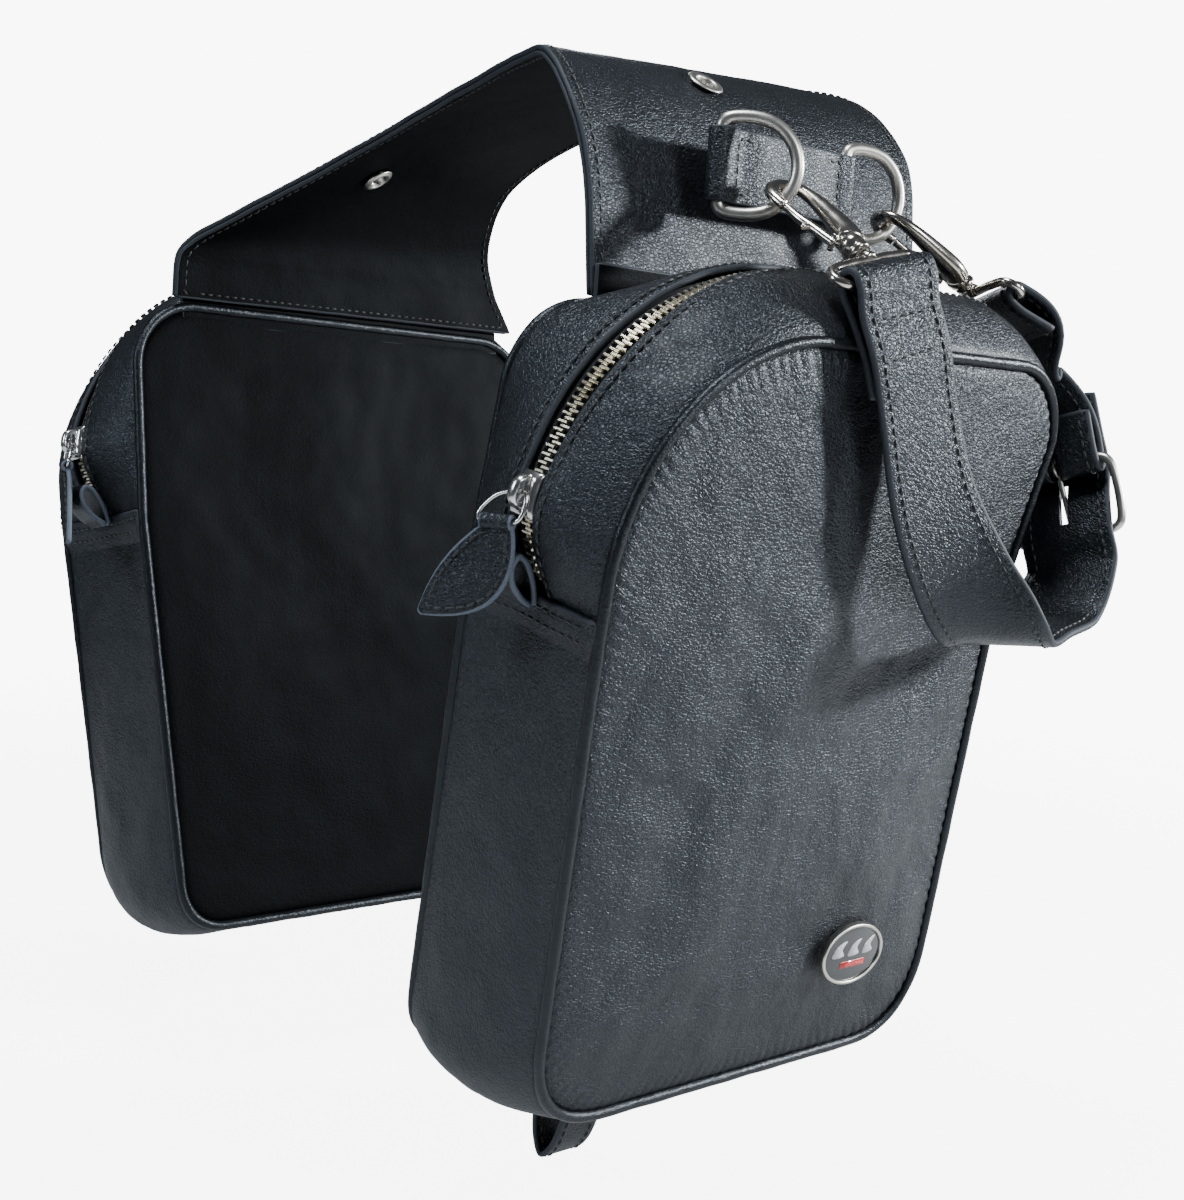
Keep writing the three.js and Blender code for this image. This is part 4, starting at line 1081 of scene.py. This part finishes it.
def slider(side):
    rings = []
    for s in np.linspace(0, 1, 25):
        along = 16.0 * (s - 0.5)
        wide = 5.9 - 1.0 * s + 0.5 * math.cos(2 * math.pi * s) * 0.4
        nose = min(1.0, 0.25 + 5 * min(s, 1 - s)) ** 0.5
        high = 2.7 * nose
        section = [(-wide, -1.8), (-wide - 0.05, 1.2 * nose), (-wide + 0.7, high - 0.35), (-wide + 1.8, high),
                   (0, high + 0.25), (wide - 1.8, high), (wide - 0.7, high - 0.35), (wide + 0.05, 1.2 * nose),
                   (wide, -1.8), (wide - 0.9, -1.8), (wide - 0.9, 0.2), (-wide + 0.9, 0.2),
                   (-wide + 0.9, -1.8)]
        rings.append(np.array([zip_place(out, along, across) for across, out in section]))
    count = len(rings[0])
    verts = np.concatenate(rings)
    faces = []
    for r in range(len(rings) - 1):
        a, b = r * count, (r + 1) * count
        faces += band(a, b, count)
    last = (len(rings) - 1) * count
    faces += [tuple(range(count))[::-1], tuple(last + i for i in range(count))]
    lug = [(1.6, -5.2), (4.2, -4.9), (LUG_OUT + 1.2, -3.2), (LUG_OUT + 1.9, 0), (LUG_OUT + 1.2, 3.2),
           (4.2, 4.9), (1.6, 5.2)]
    line = catmull([zip_place(out, along, 0) for out, along in lug], np.linspace(0, 1, 60))
    up = zip_place(0, 0, 1) - zip_place(0, 0, 0)
    arch = tube(line, 1.15, 16, flat=1.9, up=up)
    angles = np.linspace(0, 2 * math.pi, 17)[:-1]
    oval = [zip_place(2.75, 6.2 * math.cos(a), 3.4 * math.sin(a)) for a in angles]
    rim = tube(catmull(oval, np.linspace(0, 1, 80)[:-1], True), 0.45, 10, True)
    verts, faces = joined((verts, faces), arch, rim)
    name = f"{side}_zip_slider"
    add_piece(f"{name}_metal", verts, faces, [BRIGHT], None, name, [name], side == "far")


PULL_RIGHT = unit(vec(0.935, 0.352, 0))
PULL_OUT = unit(vec(0.352, -0.935, 0))
PULL_BAR = zip_place(LUG_OUT - 1.3, 0, 0) + vec(-5.8, -4.4, -11)
LEAF_THICK = 2.4
on_pull = placer(PULL_BAR, PULL_RIGHT, vec(0, 0, -1), PULL_OUT)


def pull_ring(side):
    points = [(-6.5, 0, 0), (0, 0, 0), (6.5, 0, 0), (8.6, -1.4, -0.2), (10, -6, -1), (9.4, -10, -1.9),
              (7, -11, -2.07), (4.4, -10.8, -2.07), (-1.5, -9, -1.6), (-6.2, -4.8, -0.8), (-7.8, -1.6, -0.2)]
    line = catmull([on_pull(*p) for p in points], np.linspace(0, 1, 160)[:-1], True)
    verts, faces = tube(line, 0.85, 14, True)
    name = f"{side}_pull_ring"
    add_piece(f"{name}_wire", verts, faces, [BRIGHT], None, name, [name], side == "far")


def pull_leaf(side):
    far = side == "far"
    edges = [bezier((5.6, 2), (8, 10), (6.5, 22), (-2, 28.5)),
             bezier((-2, 28.5), (-9, 33.5), (-18, 34.6), (-27.3, 34.9)),
             bezier((-27.3, 34.9), (-29.4, 34), (-28.4, 32)),
             bezier((-28.4, 32), (-25, 22), (-19, 12), (-5.6, 2))]
    outline = resample(np.concatenate([e[:-1] for e in edges] + [[(-5.6, 2), (5.6, 2)]]), 200, True)
    spine = vec(-6, 18)
    shares = np.concatenate([[0], np.linspace(0.06, 1, 26)])
    flat = spine + (outline - spine)[None] * shares[:, None, None]
    curl = 0.0012 * (flat[..., 1] - 8) ** 2 * 0.5 - 0.9 * np.exp(-((flat[..., 0] + 10) / 9) ** 2)
    crown = curl + 0.5 * (1 - shares[:, None] ** 3)
    grid = on_pull(flat[..., :1], flat[..., 1:2], crown[..., None] * 0.8)
    facing = lambda g: np.broadcast_to(PULL_OUT, g.shape)
    verts, faces, indices = shell(grid, -LEAF_THICK / 2, LEAF_THICK / 2, facing, wrap=True)
    angles = np.linspace(0.25, 2 * math.pi - 0.35, 40)
    widths = np.linspace(-5.6, 5.6, 12)
    roll = np.array([[on_pull(w, 2.1 * math.cos(a) + 0.2, 2.1 * math.sin(a)) for w in widths]
                     for a in angles])
    fold, fold_faces, fold_index = shell(roll, -0.8, 0.8)
    verts, faces = joined((verts, faces), (fold, fold_faces))
    indices = np.concatenate([indices, fold_index])
    name = f"{side}_pull_leaf"
    looks = [SMALL_GRAIN, PALE_EDGE]
    add_piece(f"{name}_leather", verts, faces, looks, indices, name, [name], far)
    inner = spine + (outline - spine) * 0.86
    path = on_pull(inner[:, :1], inner[:, 1:2], np.full((len(inner), 1), LEAF_THICK / 2 + 0.12))
    sew((name, f"{side}_pull_leaf_stitches", far), path, PULL_OUT, closed=True)


def ribbon_grid(points, widths, width, per_span=12, columns=13):
    """A flat strip along a path: stations by columns across it."""
    steps = (len(points) - 1) * per_span + 1
    t = np.linspace(0, 1, steps)
    centre = catmull(points, t)
    along = tangents(centre)
    across = square_to(catmull(widths, t), along)
    lay = np.linspace(-width / 2, width / 2, columns)
    return centre[:, None] + across[:, None] * lay[None, :, None], centre, along, across


def end_loop(side):
    far = side == "far"
    drop = [(-133.4, 105.6), (-135.2, 99.5), (-138.6, 93.2), (-141.8, 89.5), (-145, 88.6), (-147, 91.5),
            (-146.4, 97), (-141, 103.2), (-136, 106.2)]
    points = [bag_point(ZIP_Q - 3, y, h) for y, h in drop]
    across = bag_point(1, 0, 0) - bag_point(0, 0, 0)
    grid = ribbon_grid(points, [across] * len(points), 12)[0]
    verts, faces, indices = shell(grid, -1.3, 1.0)
    name = f"{side}_zip_end_loop"
    looks = [SMALL_GRAIN, PALE_EDGE]
    add_piece(f"{name}_leather", verts, faces, looks, indices, f"{side}_bag", [name], far)


def bottom_loop():
    path = [(13, 312), (13, 335), (17, 352), (22, 358), (27, 352), (31, 335), (31, 312.5)]
    points = [bag_point(q, -42.0, h) for q, h in path]
    grid, centre, along, across = ribbon_grid(points, [vec(0, 1, 0)] * len(points), 20)
    verts, faces, indices = shell(grid, -1.2, 1.2)
    name = "near_bottom_loop"
    add_piece(f"{name}_leather", verts, faces, [SMALL_GRAIN, EDGE], indices, "near_bag", [name])
    for lay in (-7.6, 7.6):
        normal = unit(np.cross(along, across))
        if normal[0] @ vec(1, 0, 0) > 0:
            normal = -normal
        sew(("near_bag", "near_bottom_loop_stitches", False), centre + across * lay + normal * 1.3, normal)
        sew(("near_bag", "near_bottom_loop_stitches", False), centre + across * lay - normal * 1.3, -normal)


BADGE = {"y": 43.0, "h": 250.0, "wide": 20.0, "tall": 13.5}


def badge(side):
    origin = bag_point(BAG_DEPTH + PANEL_BULGE - 0.9, BADGE["y"], BADGE["h"])
    along = vec(0, 1, 0)
    up = unit(bag_point(-0.09, 0, -1) - bag_point(0, 0, 0))
    out = unit(np.cross(along, up))
    at = placer(origin, along, up, out)
    angles = np.linspace(0, 2 * math.pi, 97)[:-1]
    wide, tall = BADGE["wide"], BADGE["tall"]
    oval = [at((wide - 1) * math.cos(a), (tall - 1) * math.sin(a), 2.0) for a in angles]
    rim = tube(np.array(oval), 0.8, 14, True)
    side_wall = [at(wide * math.cos(a), tall * math.sin(a), h) for h in (0, 2.0) for a in angles]
    walls = band(0, 96, 96) + [tuple(range(96))[::-1]]
    dome, dome_faces = [at(0, 0, 3.0)], []
    shares = np.linspace(0.1, 1, 12)
    for k in shares:
        across, high = (wide - 1.2) * k, (tall - 1.2) * k
        dome += [at(across * math.cos(a), high * math.sin(a), 1.7 + 1.3 * (1 - k * k)) for a in angles]
    dome_faces += [(0, 1 + i, 1 + (i + 1) % 96) for i in range(96)]
    for r in range(len(shares) - 1):
        a, b = 1 + 96 * r, 1 + 96 * (r + 1)
        dome_faces += [(a + i, b + i, b + (i + 1) % 96, a + (i + 1) % 96) for i in range(96)]

    def mark(corners):
        """A thin raised shape on the dome."""
        line = resample(corners, 48, True)
        height = 1.7 + 1.3 * (1 - (line[:, 0] / wide) ** 2 - (line[:, 1] / tall) ** 2)
        low = [at(x, y, z - 0.5) for (x, y), z in zip(line, height)]
        high = [at(x, y, z + 0.14) for (x, y), z in zip(line, height)]
        faces = band(0, 48, 48)
        return np.array(low + high), faces + [tuple(range(48))[::-1], tuple(48 + i for i in range(48))]

    pale = []
    for shift in (-14.0, -4.5, 5.0):
        corners = [(shift + a, b) for a, b in ((0, 0.2), (2.4, 4.6), (8.6, 6.6), (5.6, 3.2), (7.0, 0.6))]
        pale.append(mark(catmull([(x, y, 0) for x, y in corners], np.linspace(0, 1, 60)[:-1], True)[:, :2]))
    red = mark([(-8.5, -5.2), (7.5, -5.2), (7.5, -2.2), (-8.5, -2.2)])
    parts = [(rim, 0), ((np.array(side_wall), walls), 0), ((np.array(dome), dome_faces), 1)]
    parts += [(p, 2) for p in pale] + [(red, 3)]
    verts, faces = joined(*[p for p, _ in parts])
    indices = np.concatenate([np.full(len(p[1]), m) for p, m in parts])
    name = f"{side}_badge"
    looks = [NICKEL, BLACK_ENAMEL, PALE_ENAMEL, RED_ENAMEL]
    add_piece(f"{name}_enamel", verts, faces, looks, indices, f"{side}_bag", [name], side == "far")


# ---- hooks, strap and buckle ----

HOOK_LENGTH = 58.4
HOOK_BEND = 8.6
EYE_DEPTH = 13.5
EYE_HALF = 23.0
EYE_BAR = 2.0
SLACK = 1.1
GATE_START = 23.5
HOOKS = {
    "front": {"grip": (169.6, -23.4, 46.5), "lie": (0.838, 0.042, -0.545), "wide": (0.1, 0.96, 0.26),
              "gate": (0.07, -0.9, -0.28)},
    "rear": {"grip": (155.6, 58.5, 45.4), "lie": (0.427, 0.747, -0.509), "wide": (0.9, -0.2, 0.1),
             "gate": (-0.9, 0.41, -0.15)},
}


def hook_frame(name):
    hook = HOOKS[name]
    lie = unit(vec(*hook["lie"]))
    eye = vec(*hook["grip"]) + lie * HOOK_LENGTH
    return eye, -lie, square_to(vec(*hook["wide"]), lie), square_to(vec(*hook["gate"]), lie)


def hook_set(name):
    eye, axis, wide, gate = hook_frame(name)
    face = unit(np.cross(axis, gate))
    at = placer(eye, axis, gate, face)
    reach = HOOK_LENGTH - 2.5
    points = [at(EYE_DEPTH + 9, -1.2), at(EYE_DEPTH + 14, -4.4), at(reach - 14, -7.6),
              at(reach - 6, -HOOK_BEND), at(reach, -HOOK_BEND)]
    for degrees in (30, 60, 90, 120, 150, 180):
        a = math.radians(degrees)
        points.append(at(reach + HOOK_BEND * math.sin(a), -HOOK_BEND * math.cos(a)))
    points.append(at(reach - 4.5, HOOK_BEND))
    line = resample(catmull(points, np.linspace(0, 1, 300)), 90)
    s = np.linspace(0, 1, 90)
    size = 2.9 + 3.2 * np.clip(1 - s / 0.55, 0, 1) ** 0.9 - 0.5 * np.clip((s - 0.9) / 0.1, 0, 1)
    arm = tube(line, size, 22, flat=0.8, up=face)
    start = EYE_DEPTH
    profile = [(1.6, 1.5), (4.1, 1.5), (4.6, 2.2), (4.6, 3.6), (4.0, 4.1), (4.0, 4.6), (4.7, 5.1), (4.9, 7.6),
               (4.5, 9.4), (3.6, 10.8), (1.6, 11)]
    profile = [(radius, start + height) for radius, height in profile]
    collar = lathe(eye, axis, profile)
    shoulder = tube(np.array([at(start + 8, 0), at(start + 10, 3.2), at(GATE_START + 1.5, 6.4)]), 1.7, 14)
    pin = tube(np.array([at(GATE_START + 1, 6.6, side) for side in (-3.4, 0, 3.4)]), 1.2, 16)
    verts, faces = joined(arm, collar, shoulder, pin)
    add_piece(f"{name}_hook_metal", verts, faces, [WARM], None, "clip_strap", [f"{name}_hook"])
    points = [at(GATE_START, 6.8), at(reach - 20, HOOK_BEND - 0.4), at(reach - 14, HOOK_BEND + 0.4),
              at(reach - 5.8, HOOK_BEND)]
    line = catmull(points, np.linspace(0, 1, 50))
    s = np.linspace(0, 1, 50)
    gate_bar = tube(line, 2.15 - 0.35 * s, 18, flat=0.9, up=face)
    spur = tube(np.array([at(GATE_START + 12, HOOK_BEND + 0.4), at(GATE_START + 12.8, HOOK_BEND + 3.1),
                          at(GATE_START + 12.4, HOOK_BEND + 4.4)]), [1.5, 1.25, 0.9], 14)
    verts, faces = joined(gate_bar, spur)
    node = f"{name}_hook_gate"
    add_piece(f"{node}_metal", verts, faces, [WARM], None, node, [node])
    ring = placer(eye, axis, wide, face)
    w, d = EYE_HALF, EYE_DEPTH - 3
    half = [(0, 0), (0, w - 3), (4, w), (8.8, w - 2.4), (d, w - 12)]
    other = [(a, -c) for a, c in half[:0:-1]]
    loop = [ring(a, c) for a, c in half + [(d, 0)] + other]
    line = resample(catmull(loop, np.linspace(0, 1, 400)[:-1], True), 160, True)
    wire = tube(line, EYE_BAR, 20, True)
    neck_profile = [(0.8, -0.5), (2.9, -0.5), (3.4, 0.6), (3.0, 2.2), (2.4, 3.6), (0.8, 3.6)]
    neck = lathe(eye, axis, [(radius, d + height) for radius, height in neck_profile])
    verts, faces = joined(wire, neck)
    node = f"{name}_hook_eye"
    add_piece(f"{node}_metal", verts, faces, [WARM], None, node, [node])


BUCKLE_AT = vec(204.5, 133.5, -66)
BUCKLE_WIDE = unit(vec(0.93, 0.2, 0.3))
BUCKLE_OUT = square_to(vec(-0.2, 0.97, 0), BUCKLE_WIDE)
BUCKLE_UP = np.cross(BUCKLE_WIDE, BUCKLE_OUT)
BUCKLE_HALF_WIDE = 23.5
BUCKLE_HALF_TALL = 15.5
BUCKLE_WIRE = 1.9
PRONG_WIRE = 1.2
on_buckle_at = placer(BUCKLE_AT, BUCKLE_WIDE, BUCKLE_UP, BUCKLE_OUT)


def buckle():
    w, h = BUCKLE_HALF_WIDE, BUCKLE_HALF_TALL
    half = [(w - 3, h), (0, h), (3 - w, h), (-w, h - 3), (-w, 3 - h)]
    corners = half + [(-a, -b) for a, b in half]
    line = catmull([on_buckle_at(a, b, 0) for a, b in corners], np.linspace(0, 1, 200)[:-1], True)
    verts, faces = tube(line, BUCKLE_WIRE, 18, True)
    add_piece("buckle_frame_metal", verts, faces, [NICKEL], None, "clip_strap", ["buckle_frame"])
    reach = BUCKLE_WIRE + 0.4 + PRONG_WIRE
    angles = np.linspace(0, 2 * math.pi, 33)[:-1]
    turn = np.array([on_buckle_at(0, h + reach * math.sin(a), reach * math.cos(a)) for a in angles])
    shaft = catmull([on_buckle_at(0, up, out) for up, out in ((h - 3, 0.8), (0, 2.6), (-h - 2, 4.2))],
                    np.linspace(0, 1, 30))
    verts, faces = joined(tube(turn, PRONG_WIRE, 12, True), tube(shaft, PRONG_WIRE, 14))
    add_piece("buckle_prong_metal", verts, faces, [NICKEL], None, "buckle_prong", ["buckle_prong"])


def strap_piece(name, stops, cross_rows, slot):
    """A strap with a row of stitches along each edge, and rows across it at given distances along it."""
    points = [p for p, _ in stops]
    widths = [w for _, w in stops]
    grid, centre, along, across = ribbon_grid(points, widths, STRAP_WIDTH, 14, 19)
    normal = unit(np.cross(along, across))
    grid = grid + normal[:, None] * rough(grid, 24.0, 0.14, 13.0)[..., None]
    verts, faces, indices = shell(grid, 0.15 - STRAP_THICK / 2, STRAP_THICK / 2 - 0.15)
    looks = [SMALL_GRAIN, EDGE]
    piece = add_piece(f"{name}_leather", verts, faces, looks, indices, "clip_strap", [name])
    punch(piece, [slot])
    key = ("clip_strap", f"{name}_stitches", False)
    height = STRAP_THICK / 2 - 0.05
    columns = grid.shape[1]
    for lay in (-STRAP_WIDTH / 2 + 3.4, STRAP_WIDTH / 2 - 3.4):
        column = (lay + STRAP_WIDTH / 2) / STRAP_WIDTH * (columns - 1)
        low = int(column)
        path = grid[:, low] * (1 - column + low) + grid[:, low + 1] * (column - low)
        for sign in (1, -1):
            sew(key, path + normal * height * sign, normal * sign)
    length = np.concatenate([[0], np.cumsum(np.linalg.norm(np.diff(centre, axis=0), axis=1))])
    for distance in cross_rows:
        i = int(np.argmin(abs(length - distance)))
        lay = np.linspace(-STRAP_WIDTH / 2 + 5, STRAP_WIDTH / 2 - 5, 60)[:, None]
        for sign in (1, -1):
            sew(key, centre[i] + across[i] * lay + normal[i] * height * sign, normal[i] * sign)


def buckle_slot(low, high):
    corners = [(low[0], low[2]), (high[0], low[2]), (high[0], high[2]), (low[0], high[2])]
    verts = np.array([on_buckle_at(a, b, c) for b in (low[1], high[1]) for a, c in corners])
    return verts, [(0, 1, 2, 3), (7, 6, 5, 4), (0, 4, 5, 1), (1, 5, 6, 2), (2, 6, 7, 3), (3, 7, 4, 0)]


def fold_round(at):
    r = EYE_BAR + SLACK + STRAP_THICK / 2
    return [at(-r, 2), at(-0.7 * r, -0.7 * r), at(0, -r), at(0.7 * r, -0.7 * r), at(r, 2)]


def strap_top(name, facing):
    eye, _, wide, _ = hook_frame(name)
    facing = square_to(facing, wide)
    down = np.cross(facing, wide)
    down = down * np.sign(-down[2])
    return placer(eye, facing, down, wide), wide


def straps():
    at, wide = strap_top("front", vec(1, -0.1, 0.1))
    top = [at(1.8, 42), at(1.2, 28), at(-2.2, 12), *fold_round(at), at(3.7, 12), at(5.7, 28)]
    out = BUCKLE_WIRE + SLACK + 1.5 * STRAP_THICK + 0.8
    tip = [(-29, -6.4), (-15.5, -4.6), (-1, 1), (13, out), (26, out), (44, out + 0.6)]
    hang = [((227.5, -7, -34), (0.1, 0.93, 0.35)), ((228.8, 6, -68), (0.2, 0.9, 0.4)),
            ((232.5, 28, -101), (0.5, 0.78, 0.3)), ((235, 45, -117), (0.8, 0.5, 0.15)),
            ((230, 60, -122), (0.93, 0.3, 0.08)), ((224, 80, -120), (0.93, 0.3, 0.08)),
            ((218.5, 109, -112), (0.8, 0.58, 0.1))]
    stops = [(p, wide) for p in top] + [(vec(*p), vec(*w)) for p, w in hang]
    stops += [(on_buckle_at(0, up, o), BUCKLE_WIDE) for up, o in tip]
    strap_piece("long_strap", stops, (3.0, 73.0, 87.0), buckle_slot((-2, -10, -7), (2, 7, 10)))
    at, wide = strap_top("rear", vec(-0.05, 0.55, 0.83))
    top = [at(-3.4, 20), *fold_round(at), at(3.2, 18)]
    r = BUCKLE_WIRE + SLACK + STRAP_THICK / 2
    h = BUCKLE_HALF_TALL
    c = 0.7 * r
    foot = [(h + 18, 3.4), (h + 3, r), (h - c, c), (h - r, 0), (h - c, -c), (h + 3, -r)]
    stops = [(p, wide) for p in top] + [(vec(181, 127, -13), vec(0.93, 0, 0.22))]
    stops += [(on_buckle_at(0, up, o), BUCKLE_WIDE) for up, o in foot]
    stops.append((on_buckle_at(0, h + 20, -3.2), BUCKLE_WIDE))
    strap_piece("short_strap", stops, (3.0, 50.0), buckle_slot((-2.2, h - 8, -8), (2.2, h + 6, 8)))


camera()
studio()
floor()
yoke()
for side_name, ring in RINGS.items():
    ring_strap(side_name, ring["z"])
    for place_name, y_at, turn_by in zip(("front", "rear"), RING_YS, ring["turns"]):
        d_ring(side_name, place_name, y_at, ring["z"], turn_by)
for side_name in ("near", "far"):
    bag_shell(side_name)
    lap(side_name)
    slider(side_name)
    pull_ring(side_name)
    pull_leaf(side_name)
    end_loop(side_name)
    badge(side_name)
bottom_loop()
for hook_name in HOOKS:
    hook_set(hook_name)
straps()
buckle()
add_stitches()
